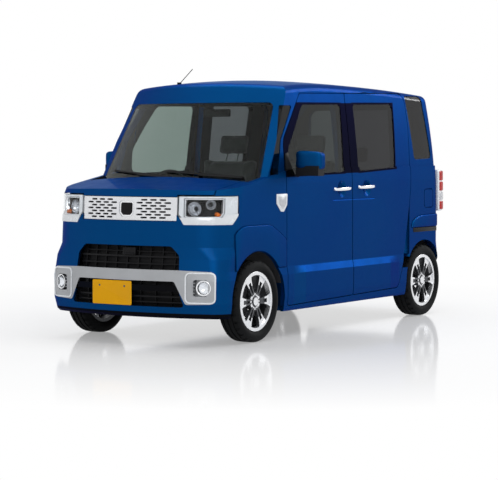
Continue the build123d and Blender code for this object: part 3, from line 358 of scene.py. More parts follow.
def wheel_finish(name, axle_y):
    """Dark paint, with the outer faces of the spokes and lip cut bright on a lathe."""
    recipe = Recipe(name, metallic=0.8)
    out = recipe.minus(recipe.far(recipe.x), TRACK_HALF)
    radius = recipe.radius(recipe.minus(recipe.y, axle_y), recipe.minus(recipe.z, AXLE_Z))
    lip = recipe.times(recipe.above(out, 0.030), recipe.above(radius, 0.181))
    cut = recipe.times(recipe.above(out, 0.0562), recipe.above(radius, 0.118))
    hub = recipe.times(recipe.above(out, 0.0575), recipe.below(radius, 0.030))
    nuts = recipe.times(recipe.below(recipe.far(radius, NUT_RING), NUT_RADIUS), recipe.below(out, 0.0545))
    bright = recipe.either(lip, cut, hub, recipe.times(nuts, recipe.above(out, 0.0435)))
    rings = recipe.waves(radius, 9000)
    recipe.put("Base Color", recipe.mix(bright, (0.085, 0.088, 0.095), (0.80, 0.81, 0.83)))
    recipe.put("Roughness", recipe.level(bright, 0, 1, 0.42, 0.24))
    recipe.bump(recipe.plus(recipe.times(rings, bright), recipe.noise(300, 2)), 0.00002, 0.4)
    return recipe.material


wheel_paint = {"front": wheel_finish("wheel_front_finish", FRONT_AXLE_Y),
               "rear": wheel_finish("wheel_rear_finish", REAR_AXLE_Y)}


def woven(name, colour, light):
    """Woven seat cloth: two crossed ribs of yarn, with soft fuzz."""
    recipe = Recipe(name, roughness=0.9, sheen_weight=0.25)
    yarns = 2600
    ribs = recipe.times(recipe.waves(recipe.x, yarns), recipe.waves(recipe.plus(recipe.y, recipe.z), yarns))
    shade = recipe.plus(recipe.times(ribs, 0.25), recipe.noise(18, 4))
    recipe.put("Base Color", recipe.mix(recipe.level(shade, 0.2, 0.9), colour, light))
    recipe.bump(recipe.plus(ribs, recipe.noise(900, 2)), 0.0003, 0.6)
    return recipe.material


seat_cloth = woven("seat_cloth", (0.030, 0.030, 0.033), (0.085, 0.085, 0.090))
print("finishes:", len(bpy.data.materials))

# %% [markdown]
# ## Finishes on the CAD panels
# A CAD node keeps its mesh: only its material slot changes. The record names a slot for every node, and
# this table gives each slot its finish. A few nodes differ from the rest of their slot.

# %% Dress the CAD nodes
slot_finish = {
    "blue_paint": paint_plain, "clear_glass": glass_clear, "dark_glass": glass_dark,
    "black_plastic": black_plastic, "seat_fabric": seat_cloth, "dark_steel": core_metal,
    "dark_aluminium": cast_metal, "silver_grille": bright_silver, "satin_silver": satin_silver,
    "lamp_clear": glass_lamp, "lamp_housing": black_plastic, "tyre_rubber": rubber,
}


def tail_lens(recipe_name):
    """Red chambers with a clear one between, and moulded ribs behind the surface."""
    recipe = Recipe(recipe_name, transmission_weight=0.25, ior=1.30, coat_weight=0.15, coat_roughness=0.03)
    ribs = recipe.waves(recipe.z, 900)
    clear = recipe.times(recipe.above(recipe.z, 0.905), recipe.below(recipe.z, 0.985))
    recipe.put("Base Color", recipe.mix(clear, (0.55, 0.012, 0.010), (0.80, 0.80, 0.82)))
    recipe.put("Roughness", recipe.level(ribs, -1, 1, 0.08, 0.2))
    recipe.bump(ribs, 0.0004, 0.5)
    return recipe.material


def mirror_black(recipe):
    return recipe.below(recipe.far(recipe.x), 0.752)


slot_finish["lamp_red"] = tail_lens("tail_lens")
node_finish = {
    "front_bumper": paint_bumper, "body_side_left": paint_side, "body_side_right": paint_side,
    "front_door_left": paint_door, "front_door_right": paint_door, "sliding_door_left": paint_door,
    "sliding_door_right": paint_door, "roof_panel": car_paint("paint_roof", None, roof_inner),
    "tailgate": car_paint("paint_tailgate", None, tail_inner),
    "door_mirror_left": car_paint("paint_mirror", mirror_black), "front_door_glass_left": glass_side,
    "front_door_glass_right": glass_side, "dashboard": trim_plastic, "steering_wheel": trim_plastic,
}
node_finish["door_mirror_right"] = node_finish["door_mirror_left"]
slot_of = {part["node"]: part["material_slot"] for part in frame["record"]["subparts"]}
for name, node in frame["nodes"].items():
    finish = node_finish.get(name) or slot_finish.get(slot_of[name])
    if name.startswith("wheel_"):
        finish = wheel_paint[name.split("_")[1]]
    node.data.materials.clear()
    node.data.materials.append(finish)
    node.data.set_sharp_from_angle(angle=math.radians(30))
print("dressed", len(frame["nodes"]), "nodes")

# %% [markdown]
# ## Floor and light
# The show floor is pale and a little glossy. Past a few metres it fades to plain white, so that no
# horizon line shows. Three soft panels light the car: one overhead, one high behind the left side and one
# high ahead of the nose.

# %% Floor, lamps and sky
def seen_directly(nodes, links):
    """1 for rays that carry the picture of the background: camera, mirror and glass rays."""
    path = nodes.new("ShaderNodeLightPath")
    total = path.outputs["Is Camera Ray"]
    for name in ("Is Glossy Ray", "Is Transmission Ray"):
        node = nodes.new("ShaderNodeMath")
        node.operation = "MAXIMUM"
        links.new(total, node.inputs[0])
        links.new(path.outputs[name], node.inputs[1])
        total = node.outputs[0]
    return total


world = bpy.data.worlds.new("show_room")
bpy.context.scene.world = world
world.use_nodes = True
sky, sky_links = world.node_tree.nodes, world.node_tree.links
plain, bright = sky["Background"], sky.new("ShaderNodeBackground")
plain.inputs["Color"].default_value = (0.80, 0.83, 0.88, 1)
plain.inputs["Strength"].default_value = 0.40
bright.inputs["Color"].default_value = (1, 1, 1, 1)
both_skies = sky.new("ShaderNodeMixShader")
sky_links.new(seen_directly(sky, sky_links), both_skies.inputs[0])
sky_links.new(plain.outputs[0], both_skies.inputs[1])
sky_links.new(bright.outputs[0], both_skies.inputs[2])
sky_links.new(both_skies.outputs[0], sky["World Output"].inputs["Surface"])

floor_shape = bmesh.new()
bmesh.ops.create_circle(floor_shape, cap_ends=True, segments=64, radius=40)
floor_mesh = bpy.data.meshes.new("floor")
floor_shape.to_mesh(floor_mesh)
floor_shape.free()
floor = bpy.data.objects.new("floor", floor_mesh)
bpy.context.scene.collection.objects.link(floor)
ground = Recipe("floor", roughness=0.09, specular_ior_level=0.22)
ground.put("Base Color", ground.mix(ground.noise(2, 2), (0.90, 0.90, 0.91), (0.93, 0.93, 0.94)))
ground.bump(ground.noise(60, 2), 0.0002, 0.2)
glow = ground.nodes.new("ShaderNodeEmission")
away = ground.level(ground.radius(ground.x, ground.y), 1.6, 4.6, 0.30, 1.0)
share = ground.times(away, seen_directly(ground.nodes, ground.links))
fade = ground.nodes.new("ShaderNodeMixShader")
ground.links.new(share, fade.inputs[0])
ground.links.new(ground.shader.outputs[0], fade.inputs[1])
ground.links.new(glow.outputs[0], fade.inputs[2])
ground.links.new(fade.outputs[0], ground.nodes["Material Output"].inputs["Surface"])
floor_mesh.materials.append(ground.material)


def soft_panel(name, place, target, size, watts):
    data = bpy.data.lights.new(name, "AREA")
    data.shape = "RECTANGLE"
    data.size, data.size_y = size
    data.energy = watts
    lamp = bpy.data.objects.new(name, data)
    lamp.location = place
    lamp.rotation_euler = (Vector(target) - Vector(place)).to_track_quat("-Z", "Y").to_euler()
    bpy.context.scene.collection.objects.link(lamp)
    return lamp


soft_panel("overhead", (0.5, 0.0, 5.5), (0, 0, 0), (3.5, 8), 230)
soft_panel("shoulder_soft", (4.3, 6.8, 4.4), (0.7, 0, 1.0), (3.0, 2.6), 170)
soft_panel("front_soft", (3.5, -8.0, 4.5), (0, -1, 0.8), (5, 3), 150)
bpy.context.scene.view_settings.view_transform = "Standard"
print("floor and lamps ready")

# %% [markdown]
# ## Making pieces
# Each new piece starts as a bmesh that operators shape, in its place on the car. The helpers below turn
# one into an object, ride it on its body and name its slot. Edges sharper than a third of a right angle
# stay crisp, so that bevels catch the light and flat faces stay flat.

# %% Piece helpers
def finished(name, shape, material, body, replaces=(), smooth=True, recalculate=True):
    """Turn a bmesh into a piece that rides on a body."""
    if recalculate:
        bmesh.ops.remove_doubles(shape, verts=shape.verts, dist=1e-6)
        bmesh.ops.recalc_face_normals(shape, faces=shape.faces)
    mesh = bpy.data.meshes.new(name)
    shape.to_mesh(mesh)
    shape.free()
    mesh.polygons.foreach_set("use_smooth", [smooth] * len(mesh.polygons))
    mesh.set_sharp_from_angle(angle=math.radians(32))
    mesh.materials.append(material)
    piece = bpy.data.objects.new(name, mesh)
    bpy.context.scene.collection.objects.link(piece)
    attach(piece, body)
    if replaces:
        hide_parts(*replaces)
    return piece


def moved(shape, verts, matrix):
    bmesh.ops.transform(shape, matrix=matrix, verts=verts)
    return verts


def bevelled(shape, verts, edge, segments):
    """Round the edges that meet at these corners."""
    edges = list({e for v in verts for e in v.link_edges})
    return bmesh.ops.bevel(shape, geom=edges, offset=edge, segments=segments, affect="EDGES",
                           profile=0.5, material=-1)


def pushed(shape, faces, along):
    """Extrude faces along a vector, and give the new corners."""
    made = bmesh.ops.extrude_face_region(shape, geom=faces)
    verts = [v for v in made["geom"] if isinstance(v, bmesh.types.BMVert)]
    bmesh.ops.translate(shape, verts=verts, vec=Vector(along))
    return verts


def sliced(shape, verts, spot, normal):
    """Slice the faces at these corners by a plane, and give the corners with the new ones."""
    live = [v for v in verts if v.is_valid]
    edges = {e for v in live for e in v.link_edges}
    faces = {f for v in live for f in v.link_faces}
    made = bmesh.ops.bisect_plane(shape, geom=[*live, *edges, *faces], dist=1e-6, plane_co=spot,
                                  plane_no=normal)
    return live + [g for g in made["geom_cut"] if isinstance(g, bmesh.types.BMVert)]


def read_off(table, z):
    """Value at height z on a table of (z, value) rows, held at its ends."""
    z = min(max(z, table[0][0]), table[-1][0])
    for (z_low, low), (z_high, high) in zip(table, table[1:]):
        if z <= z_high:
            return low + (high - low) * (z - z_low) / (z_high - z_low)
    return table[-1][1]


def add_block(shape, low, high, edge=0.0, segments=2):
    """Box between two corners, with rounded edges."""
    verts = bmesh.ops.create_cube(shape, size=1)["verts"]
    low, high = Vector(low), Vector(high)
    moved(shape, verts, Matrix.Translation((low + high) / 2) @ Matrix.Diagonal((*(high - low), 1)))
    if edge:
        made = bevelled(shape, verts, edge, segments)
        verts = list({v for f in made["faces"] for v in f.verts} | {v for v in verts if v.is_valid})
    return verts


def add_disc(shape, centre, along, radius, length, far_radius=None, segments=32):
    """Round bar or cone from centre along a direction."""
    far_radius = radius if far_radius is None else far_radius
    way = Vector(along).normalized()
    turned = way.to_track_quat("Z", "Y").to_matrix().to_4x4()
    place = Matrix.Translation(Vector(centre) + way * length / 2) @ turned
    return bmesh.ops.create_cone(shape, cap_ends=True, segments=segments, radius1=radius, radius2=far_radius,
                                 depth=length, matrix=place)["verts"]


def add_face(shape, points):
    """One flat face through a list of corners."""
    return shape.faces.new([shape.verts.new(p) for p in points])


def add_prism(shape, points, along, edge=0.0, segments=2):
    """Flat outline pushed along a vector, with rounded edges."""
    face = add_face(shape, points)
    every = pushed(shape, [face], along) + list(face.verts)
    bmesh.ops.recalc_face_normals(shape, faces=list({f for v in every for f in v.link_faces}))
    if edge:
        bevelled(shape, every, edge, segments)


def add_turned(shape, profile, centre, along, steps=48, closed=False):
    """Spin a profile of (along, radius) points about an axle through centre."""
    way = Vector(along).normalized()
    side = way.orthogonal().normalized()
    centre = Vector(centre)
    verts = [shape.verts.new(centre + way * a + side * r) for a, r in profile]
    pairs = list(zip(verts, verts[1:])) + ([(verts[-1], verts[0])] if closed else [])
    edges = [shape.edges.new(pair) for pair in pairs]
    made = bmesh.ops.spin(shape, geom=verts + edges, cent=centre, axis=way, angle=math.tau, steps=steps,
                          use_merge=True)
    return made["geom_last"]


MIRROR = Matrix.Diagonal((-1, 1, 1, 1))
SIDES = (("left", 1), ("right", -1))


def mirrored_too(shape):
    """Add the same shape on the car's other side."""
    copy = bmesh.ops.duplicate(shape, geom=shape.verts[:] + shape.edges[:] + shape.faces[:])["geom"]
    verts = [g for g in copy if isinstance(g, bmesh.types.BMVert)]
    moved(shape, verts, MIRROR)
    bmesh.ops.reverse_faces(shape, faces=[g for g in copy if isinstance(g, bmesh.types.BMFace)])


def cut_rows(shape, axis, start, stop, step):
    """Slice the mesh into strips, so that it can follow a curved skin."""
    normal = Vector([1 if i == axis else 0 for i in range(3)])
    for i in range(int(round((stop - start) / step)) + 1):
        geom = shape.verts[:] + shape.edges[:] + shape.faces[:]
        spot = normal * (start + i * step)
        bmesh.ops.bisect_plane(shape, geom=geom, dist=1e-6, plane_co=spot, plane_no=normal)


print("piece helpers ready")

# %% [markdown]
# ## The skin of the nose
# Lamps and trim lie on the nose, which is bowed in plan and has round corners. The same numbers that
# shape it in the CAD give a point on it here: u runs along the skin from the middle, z is the height and
# inset goes inwards. A flat shape drawn in (u, inset, z) can then be wrapped onto the car.

# %% Wrap a flat shape on the nose
NOSE_Y, NOSE_BOW = -1.6975, 2.0
# Rows of height, inset of the side, inset of the nose and radius of the corner.
NOSE_TABLE = [(0.205, 0.0115, 0.022, 0.130), (0.290, 0.0005, 0, 0.130), (0.445, 0, 0, 0.130),
              (0.505, 0.0105, 0.008, 0.130), (0.585, 0.0105, 0.022, 0.145), (0.665, 0.0105, 0.030, 0.260),
              (0.850, 0.0105, 0.038, 0.270), (1.010, 0.0125, 0.048, 0.270), (1.085, 0.0135, 0.096, 0.270)]


def nose_corner(z):
    """Insets of side and nose at a height, and where the corner's arc has its middle."""
    z_in = min(max(z, NOSE_TABLE[0][0]), NOSE_TABLE[-1][0] - 1e-6)
    row = next(i for i in range(len(NOSE_TABLE) - 1) if NOSE_TABLE[i + 1][0] > z_in)
    low, high = NOSE_TABLE[row], NOSE_TABLE[row + 1]
    part = (z_in - low[0]) / (high[0] - low[0])
    side_in, nose_in, corner = (low[i] + part * (high[i] - low[i]) for i in (1, 2, 3))
    corner_x = BODY_HALF - side_in - corner
    centre = NOSE_Y + nose_in + NOSE_BOW
    return side_in, corner, centre, corner_x, centre - math.sqrt((NOSE_BOW - corner) ** 2 - corner_x ** 2)


def flank_x(y, z):
    """Outer face of the front fender, seen from the side."""
    side_in, corner, centre, corner_x, corner_y = nose_corner(z)
    ahead = min(1.0, max(0.0, corner_y - y) / corner)
    return corner_x + corner * math.sqrt(1 - ahead * ahead)


def nose_skin(u, z, inset):
    side_in, corner, centre, corner_x, corner_y = nose_corner(z)
    side, u = 1 if u >= 0 else -1, abs(u)
    start = math.atan2(corner_x, centre - corner_y)
    if u <= NOSE_BOW * start:
        angle, reach = u / NOSE_BOW, NOSE_BOW - inset
        return Vector((side * math.sin(angle) * reach, centre - math.cos(angle) * reach, z))
    angle, reach = start + (u - NOSE_BOW * start) / corner, corner - inset
    if angle < math.pi / 2:
        return Vector((side * (corner_x + reach * math.sin(angle)), corner_y - reach * math.cos(angle), z))
    return Vector((side * (BODY_HALF - side_in - inset), corner_y + (angle - math.pi / 2) * corner, z))


def wrap(shape):
    for vert in shape.verts:
        vert.co = nose_skin(vert.co.x, vert.co.z, vert.co.y)


def add_ring(shape, outer, inner, near, far):
    """Frame between two loops of (u, z) corners, from one inset to another."""
    loops = []
    for loop in (outer, inner):
        verts = [shape.verts.new((u, near, z)) for u, z in loop]
        loops += [shape.edges.new((a, b)) for a, b in zip(verts, verts[1:] + verts[:1])]
    made = bmesh.ops.bridge_loops(shape, edges=loops)
    pushed(shape, made["faces"], (0, far - near, 0))


def nose_piece(name, shape, material, rows=None, both=True, replaces=()):
    """Slice a flat shape across u, wrap it on the nose, copy it to the other side and finish it."""
    if rows:
        cut_rows(shape, 0, *rows)
    wrap(shape)
    if both:
        mirrored_too(shape)
    return finished(name, shape, material, "shell", replaces)


print("nose at u = 0.6:", tuple(round(c, 3) for c in nose_skin(0.6, 0.93, 0)))

# %% [markdown]
# ## Headlamp insides
# Behind the clear lens are a bright frame, wide at the outer end, a fine line within it, a black bowl, two
# round reflectors with projector lenses and a small amber bulb. The frame is two loops of corners bridged
# together and wrapped on the nose, and its lower edge is a piece of its own that stands on the skin. The
# reflectors are spun profiles.

# %% Headlamp insides
FRAME_OUTER = [(0.412, 0.886), (0.412, 1.006), (0.849, 1.006), (0.849, 0.888), (0.816, 0.851), (0.448, 0.851)]
FRAME_INNER = [(0.446, 0.872), (0.446, 0.994), (0.742, 0.994), (0.742, 0.894), (0.716, 0.862), (0.464, 0.862)]
FRAME_LOWER = [(0.412, 0.884), (0.424, 0.866), (0.722, 0.866), (0.748, 0.884), (0.848, 0.890),
               (0.843, 0.872), (0.796, 0.817), (0.452, 0.817)]
STEP_OUTER = [(0.449, 0.874), (0.449, 0.991), (0.739, 0.991), (0.739, 0.896), (0.714, 0.864), (0.466, 0.864)]
STEP_INNER = [(0.457, 0.879), (0.457, 0.985), (0.730, 0.985), (0.730, 0.900), (0.709, 0.871), (0.470, 0.871)]
LAMP_ROWS, STEP_ROWS = (0.42, 0.84, 0.02), (0.45, 0.74, 0.02)
BOWL_FRONT, BOWL_DEPTH, BOWL_WALL = 0.031, 0.058, 0.003

lamp_frame = bmesh.new()
add_ring(lamp_frame, FRAME_OUTER, FRAME_INNER, 0.0065, 0.030)
nose_piece("lamp_frames", lamp_frame, frame_white, LAMP_ROWS, replaces=["headlamp_housings"])

lower_frame = bmesh.new()
add_prism(lower_frame, [(u, -0.005, z) for u, z in FRAME_LOWER], (0, 0.008, 0), 0.002)
nose_piece("lamp_lower_frames", lower_frame, frame_white, LAMP_ROWS)

lamp_line = bmesh.new()
add_ring(lamp_line, STEP_OUTER, STEP_INNER, 0.020, 0.045)
nose_piece("lamp_inner_lines", lamp_line, bright_silver, STEP_ROWS)

lamp_bowl = bmesh.new()
bowl_face = add_face(lamp_bowl, [(u, BOWL_FRONT, z) for u, z in FRAME_OUTER])
pushed(lamp_bowl, [bowl_face], (0, BOWL_DEPTH, 0))
bmesh.ops.delete(lamp_bowl, geom=[bowl_face], context="FACES_ONLY")
cut_rows(lamp_bowl, 0, *LAMP_ROWS)
bmesh.ops.recalc_face_normals(lamp_bowl, faces=lamp_bowl.faces)
bmesh.ops.solidify(lamp_bowl, geom=lamp_bowl.faces[:], thickness=BOWL_WALL)
nose_piece("lamp_bowls", lamp_bowl, gloss_black)


def nose_normal(u, z):
    """Direction out of the nose in plan."""
    out = nose_skin(u, z, 0) - nose_skin(u, z, 0.02)
    return Vector((out.x, out.y, 0)).normalized()


REFLECTORS = [(0.516, 0.922, 0.047), (0.640, 0.952, 0.032)]
PROJECTOR = [(0.001, 0.0), (0.002, 0.016), (0.012, 0.019), (0.020, 0.0165), (0.026, 0.010), (0.0285, 0.0)]
reflector, projector = bmesh.new(), bmesh.new()
for u, z, radius in REFLECTORS:
    out = nose_normal(u, z)
    base = nose_skin(u, z, 0.066)
    dish = [(0.000, 0.012), (0.004, 0.018), (0.012, 0.8 * radius - 0.006), (0.024, radius - 0.004),
            (0.034, radius - 0.001), (0.036, radius - 0.001), (0.036, radius + 0.001),
            (0.030, radius + 0.001), (0.010, 0.8 * radius), (-0.004, 0.020), (-0.004, 0.012)]
    add_turned(reflector, dish, base, out, steps=40, closed=True)
    add_turned(projector, PROJECTOR, base, out, steps=32)
mirrored_too(reflector)
mirrored_too(projector)
finished("lamp_reflectors", reflector, facet_chrome, "shell")
finished("lamp_projectors", projector, glass_lamp, "shell")

bulbs = bmesh.new()
out = nose_normal(0.700, 0.885)
add_disc(bulbs, nose_skin(0.697, 0.885, 0.060), out, 0.016, 0.034, 0.012, 24)
mirrored_too(bulbs)
finished("lamp_bulbs", bulbs, amber, "shell")
print("headlamps: frame, inner line, bowl,", len(REFLECTORS), "reflectors a side")

# %% [markdown]
# ## Grille backing
# The grille is a bright plate with rows of long six-sided holes, and it is cut in the CAD. Only darkness
# should show through the holes, so a black wall stands a little way behind it. A bright rim round a dark
# recess marks its bare middle, and a thin seal closes it below.

# %% Grille backing
BACKING_THICK = 0.003
RECESS = [(-0.056, 0.958), (-0.056, 0.893), (-0.033, 0.870), (0.033, 0.870), (0.056, 0.893), (0.056, 0.958),
          (0.046, 0.968), (-0.046, 0.968)]
RECESS_MIDDLE = (0.0, 0.919)
SEAL_OUTER = [(-0.393, 0.8385), (-0.393, 0.8425), (0.393, 0.8425), (0.393, 0.8385)]
SEAL_INNER = [(-0.392, 0.8395), (-0.392, 0.8415), (0.392, 0.8415), (0.392, 0.8395)]

backing = bmesh.new()
bmesh.ops.create_grid(backing, x_segments=24, y_segments=2, size=0.5)
moved(backing, backing.verts[:], Matrix.Translation((0, 0.034, 0.923)) @ Matrix.Rotation(math.pi / 2, 4, "X")
      @ Matrix.Diagonal((0.780, 0.150, 1, 1)))
wrap(backing)
bmesh.ops.solidify(backing, geom=backing.faces[:], thickness=BACKING_THICK)
finished("grille_backing", backing, black_plastic, "shell")


def shrunk(points, middle, by):
    """The same outline, smaller about a middle."""
    return [(middle[0] + (a - middle[0]) * by, middle[1] + (b - middle[1]) * by) for a, b in points]


recess_rim, recess, under_line = bmesh.new(), bmesh.new(), bmesh.new()
add_ring(recess_rim, RECESS, shrunk(RECESS, RECESS_MIDDLE, 0.88), 0.0125, 0.0178)
nose_piece("grille_recess_rim", recess_rim, chrome, both=False)
add_prism(recess, [(u, 0.0150, z) for u, z in shrunk(RECESS, RECESS_MIDDLE, 0.86)], (0, 0.0028, 0))
nose_piece("grille_recess", recess, gloss_black, both=False)
add_ring(under_line, SEAL_OUTER, SEAL_INNER, -0.0015, 0.010)
nose_piece("grille_seal", under_line, seal_rubber, (-0.38, 0.38, 0.04), both=False)
print("grille backing ready")

# %% [markdown]
# ## Intakes
# Two wide openings let air in: one above the silver bar and one below it. Black ribs cross both, with a
# sensor box in the upper one. They are boxes drawn flat and wrapped on the nose, a few centimetres in.

# %% Intake ribs
# Cross ribs as height, half length, half thickness and inset; uprights as count, pitch, inset, foot and top.
CROSS_RIBS = [(0.598, 0.43, 0.006, 0.030), (0.632, 0.40, 0.003, 0.038), (0.549, 0.43, 0.004, 0.036),
              (0.330, 0.44, 0.005, 0.035), (0.292, 0.46, 0.004, 0.038)]
UPRIGHTS = [(4, 0.096, 0.042, 0.506, 0.672), (3, 0.120, 0.046, 0.266, 0.443)]
INTAKE_ROWS = (-0.45, 0.45, 0.05)
RIB_DEEP, UPRIGHT_DEEP, UPRIGHT_HALF = 0.022, 0.018, 0.003

ribs = bmesh.new()
for z, half, thick, near in CROSS_RIBS:
    add_block(ribs, (-half, near, z - thick), (half, near + RIB_DEEP, z + thick), 0.0015)
for count, pitch, near, foot, top in UPRIGHTS:
    for i in range(-count, count + 1):
        u = i * pitch
        add_block(ribs, (u - UPRIGHT_HALF, near, foot), (u + UPRIGHT_HALF, near + UPRIGHT_DEEP, top), 0.001)
nose_piece("intake_ribs", ribs, black_plastic, INTAKE_ROWS, both=False)

wall = bmesh.new()
for low, high, half in ((0.495, 0.685, 0.455), (0.250, 0.452, 0.490)):
    add_block(wall, (-half, 0.066, low), (half, 0.070, high), 0.001)
nose_piece("intake_walls", wall, seal_rubber, INTAKE_ROWS, both=False)

sensor = bmesh.new()
add_block(sensor, (-0.030, 0.020, 0.606), (0.078, 0.064, 0.660), 0.006)
sensor_face = max(sensor.faces, key=lambda f: f.calc_area() * (f.calc_center_median().y < 0.021))
bmesh.ops.inset_region(sensor, faces=[sensor_face], thickness=0.012, depth=-0.006)
nose_piece("intake_sensor", sensor, gloss_black, both=False)
print("intake ribs ready")

# %% [markdown]
# ## Fog lamps
# Each fog lamp sits in a square bright frame with round corners. Inside are a satin silver well with fins
# and a round lens with a bright rim, nearer the outer side. They stand for the plain lenses of the CAD.

# %% Fog lamps
def rounded_outline(half, tall, corner, steps=4):
    """Rectangle of half width and half height with round corners, as points about its middle."""
    points = []
    for sx, sz, start in ((1, 1, 0), (-1, 1, 90), (-1, -1, 180), (1, -1, 270)):
        for i in range(steps + 1):
            angle = math.radians(start + 90 * i / steps)
            points.append((sx * (half - corner) + corner * math.cos(angle),
                           sz * (tall - corner) + corner * math.sin(angle)))
    return points


FOG_U, FOG_Z, FOG_SQUEEZE = 0.590, 0.397, 0.97
FOG_LENS_U = FOG_U + 0.024
FOG_ROWS = (0.50, 0.68, 0.02)
FOG_BACK_HALF = 0.060
FIN_COUNT, FIN_LOW, FIN_PITCH, FIN_HALF = 8, FOG_Z - 0.077, 0.022, 0.0020
FOG_HOOP = [(0.0, 0.036), (0.028, 0.040), (0.034, 0.044), (0.036, 0.048), (0.034, 0.052), (0.026, 0.053),
            (0.0, 0.046)]
FOG_DISH = [(0.002, 0.0), (0.004, 0.012), (0.014, 0.030), (0.018, 0.036), (0.012, 0.036), (0.0, 0.012),
            (-0.001, 0.0)]
FOG_LENS = [(0.026, 0.0), (0.026, 0.0395), (0.033, 0.0395), (0.0375, 0.028), (0.0395, 0.012), (0.040, 0.0)]


def fog_loop(half, corner, squeeze=1.0):
    return [(FOG_U + a, FOG_Z + b * squeeze) for a, b in rounded_outline(half, half, corner)]


fog_frame, fog_well, fog_lens, fog_rim = bmesh.new(), bmesh.new(), bmesh.new(), bmesh.new()
add_ring(fog_frame, fog_loop(0.108, 0.034, FOG_SQUEEZE), fog_loop(0.098, 0.026, FOG_SQUEEZE), -0.006, 0.003)
add_ring(fog_well, fog_loop(0.0975, 0.026, FOG_SQUEEZE), fog_loop(0.0560, 0.024), -0.0012, 0.003)
add_ring(fog_well, fog_loop(0.0600, 0.024), fog_loop(0.0555, 0.020), 0.000, 0.046)
add_block(fog_well, (FOG_U - FOG_BACK_HALF, 0.044, FOG_Z - FOG_BACK_HALF),
          (FOG_U + FOG_BACK_HALF, 0.048, FOG_Z + FOG_BACK_HALF))
for i in range(FIN_COUNT):
    z = FIN_LOW + i * FIN_PITCH
    add_block(fog_well, (FOG_U - 0.094, -0.0040, z - FIN_HALF), (FOG_U - 0.036, 0.001, z + FIN_HALF))
fog_out = nose_normal(FOG_LENS_U, FOG_Z)
fog_base = nose_skin(FOG_LENS_U, FOG_Z, 0.034)
add_turned(fog_rim, FOG_HOOP, fog_base, fog_out, steps=40, closed=True)
add_turned(fog_rim, FOG_DISH, fog_base, fog_out, steps=32)
add_turned(fog_lens, FOG_LENS, fog_base, fog_out, steps=32)
mirrored_too(fog_rim)
mirrored_too(fog_lens)
nose_piece("fog_frames", fog_frame, frame_white, FOG_ROWS, replaces=["fog_lamps"])
nose_piece("fog_wells", fog_well, satin_silver, FOG_ROWS)
finished("fog_rims", fog_rim, chrome, "shell")
finished("fog_lenses", fog_lens, glass_lamp, "shell")
print("fog lamps ready")

# %% [markdown]
# ## Number plate
# A bare yellow plate of the small-car size, pressed from sheet with a raised border, on two bolts.

# %% Number plate
PLATE_X, PLATE_Z, PLATE_HALF, PLATE_TALL = -0.090, 0.3495, 0.165, 0.0825
PLATE_Y, PLATE_THICK, PLATE_CORNER = -1.6942, 0.0018, 0.010
BORDER = [(0.004, 0), (0.0025, 0.0012), (0.0025, -0.0012)]
BOLT_APART, BOLT_Z = 0.105, 0.395

plate = bmesh.new()
plate_outline = rounded_outline(PLATE_HALF, PLATE_TALL, PLATE_CORNER)
add_prism(plate, [(PLATE_X + a, PLATE_Y, PLATE_Z + b) for a, b in plate_outline], (0, PLATE_THICK, 0))
front = min(plate.faces, key=lambda f: f.calc_center_median().y)
for thickness, depth in BORDER:
    bmesh.ops.inset_region(plate, faces=[front], thickness=thickness, depth=depth)
finished("number_plate", plate, plate_yellow, "shell")
bolts = bmesh.new()
for side in (-1, 1):
    add_disc(bolts, (PLATE_X + side * BOLT_APART, -1.6944, BOLT_Z), (0, -1, 0), 0.0075, 0.0022, 0.006, 20)
finished("plate_bolts", bolts, cast_metal, "shell")
print("plate", round(2 * PLATE_HALF, 3), "x", round(2 * PLATE_TALL, 3), "m")


# %% [markdown]
# ## Door openings
# Behind each door glass the body side is open. The CAD panel keeps a thin inner skin across the top of
# these openings, so a copy of it takes its place here, with that skin cut out along the opening.

# %% Open the body sides
FRONT_OPENING = [(-0.6845, 1.20), (-0.6845, 1.3635), (-0.4292, 1.661), (0.1215, 1.674), (0.1215, 1.20)]
SLIDING_OPENING = [(0.2505, 1.20), (0.2505, 1.669), (1.000, 1.683), (1.050, 1.640), (1.058, 1.50),
                   (1.045, 1.20)]
SKIN_INNER, SKIN_ROOM = 0.50, 0.1015
PANEL_SHARP = 9


def cut_away(shape, cutter):
    """Take a closed cutter away from a closed shape."""
    pieces = []
    for source in (shape, cutter):
        mesh = bpy.data.meshes.new("cut")
        source.to_mesh(mesh)
        source.clear()
        pieces.append(bpy.data.objects.new("cut", mesh))
        bpy.context.scene.collection.objects.link(pieces[-1])
    modifier = pieces[0].modifiers.new("cut", "BOOLEAN")
    modifier.operation, modifier.solver, modifier.object = "DIFFERENCE", "EXACT", pieces[1]
    ready = pieces[0].evaluated_get(bpy.context.evaluated_depsgraph_get())
    shape.from_mesh(ready.to_mesh())
    ready.to_mesh_clear()
    for piece in pieces:
        bpy.data.meshes.remove(piece.data)


def total_area(shape):
    return sum(face.calc_area() for face in shape.faces)


for side, way in SIDES:
    panel, cutter = bmesh.new(), bmesh.new()
    panel.from_mesh(frame["nodes"][f"body_side_{side}"].data)
    bmesh.ops.remove_doubles(panel, verts=panel.verts, dist=1e-6)
    for outline in (FRONT_OPENING, SLIDING_OPENING):
        add_prism(cutter, [(way * SKIN_INNER, y, z) for y, z in outline], (way * SKIN_ROOM, 0, 0))
    bmesh.ops.recalc_face_normals(cutter, faces=cutter.faces)
    before = total_area(panel)
    cut_away(panel, cutter)
    cutter.free()
    print("skin cut out:", round(before - total_area(panel), 3), "m2")
    piece = finished(f"side_panel_{side}", panel, paint_side, "shell", [f"body_side_{side}"],
                     recalculate=False)
    piece.data.set_sharp_from_angle(angle=math.radians(PANEL_SHARP))

# %% [markdown]
# ## Door handles, rails and side lamps
# The doors open by bright pull handles that bridge a round hollow. A handle is a bar that stands off the
# door and bends back to it at both ends, so it starts as a sliced block whose slices are moved outwards
# by a smooth curve. The sliding door's rail is a dark channel behind it, with a swelling above. A low flare
# lies over each front arch and follows the fender's bow.

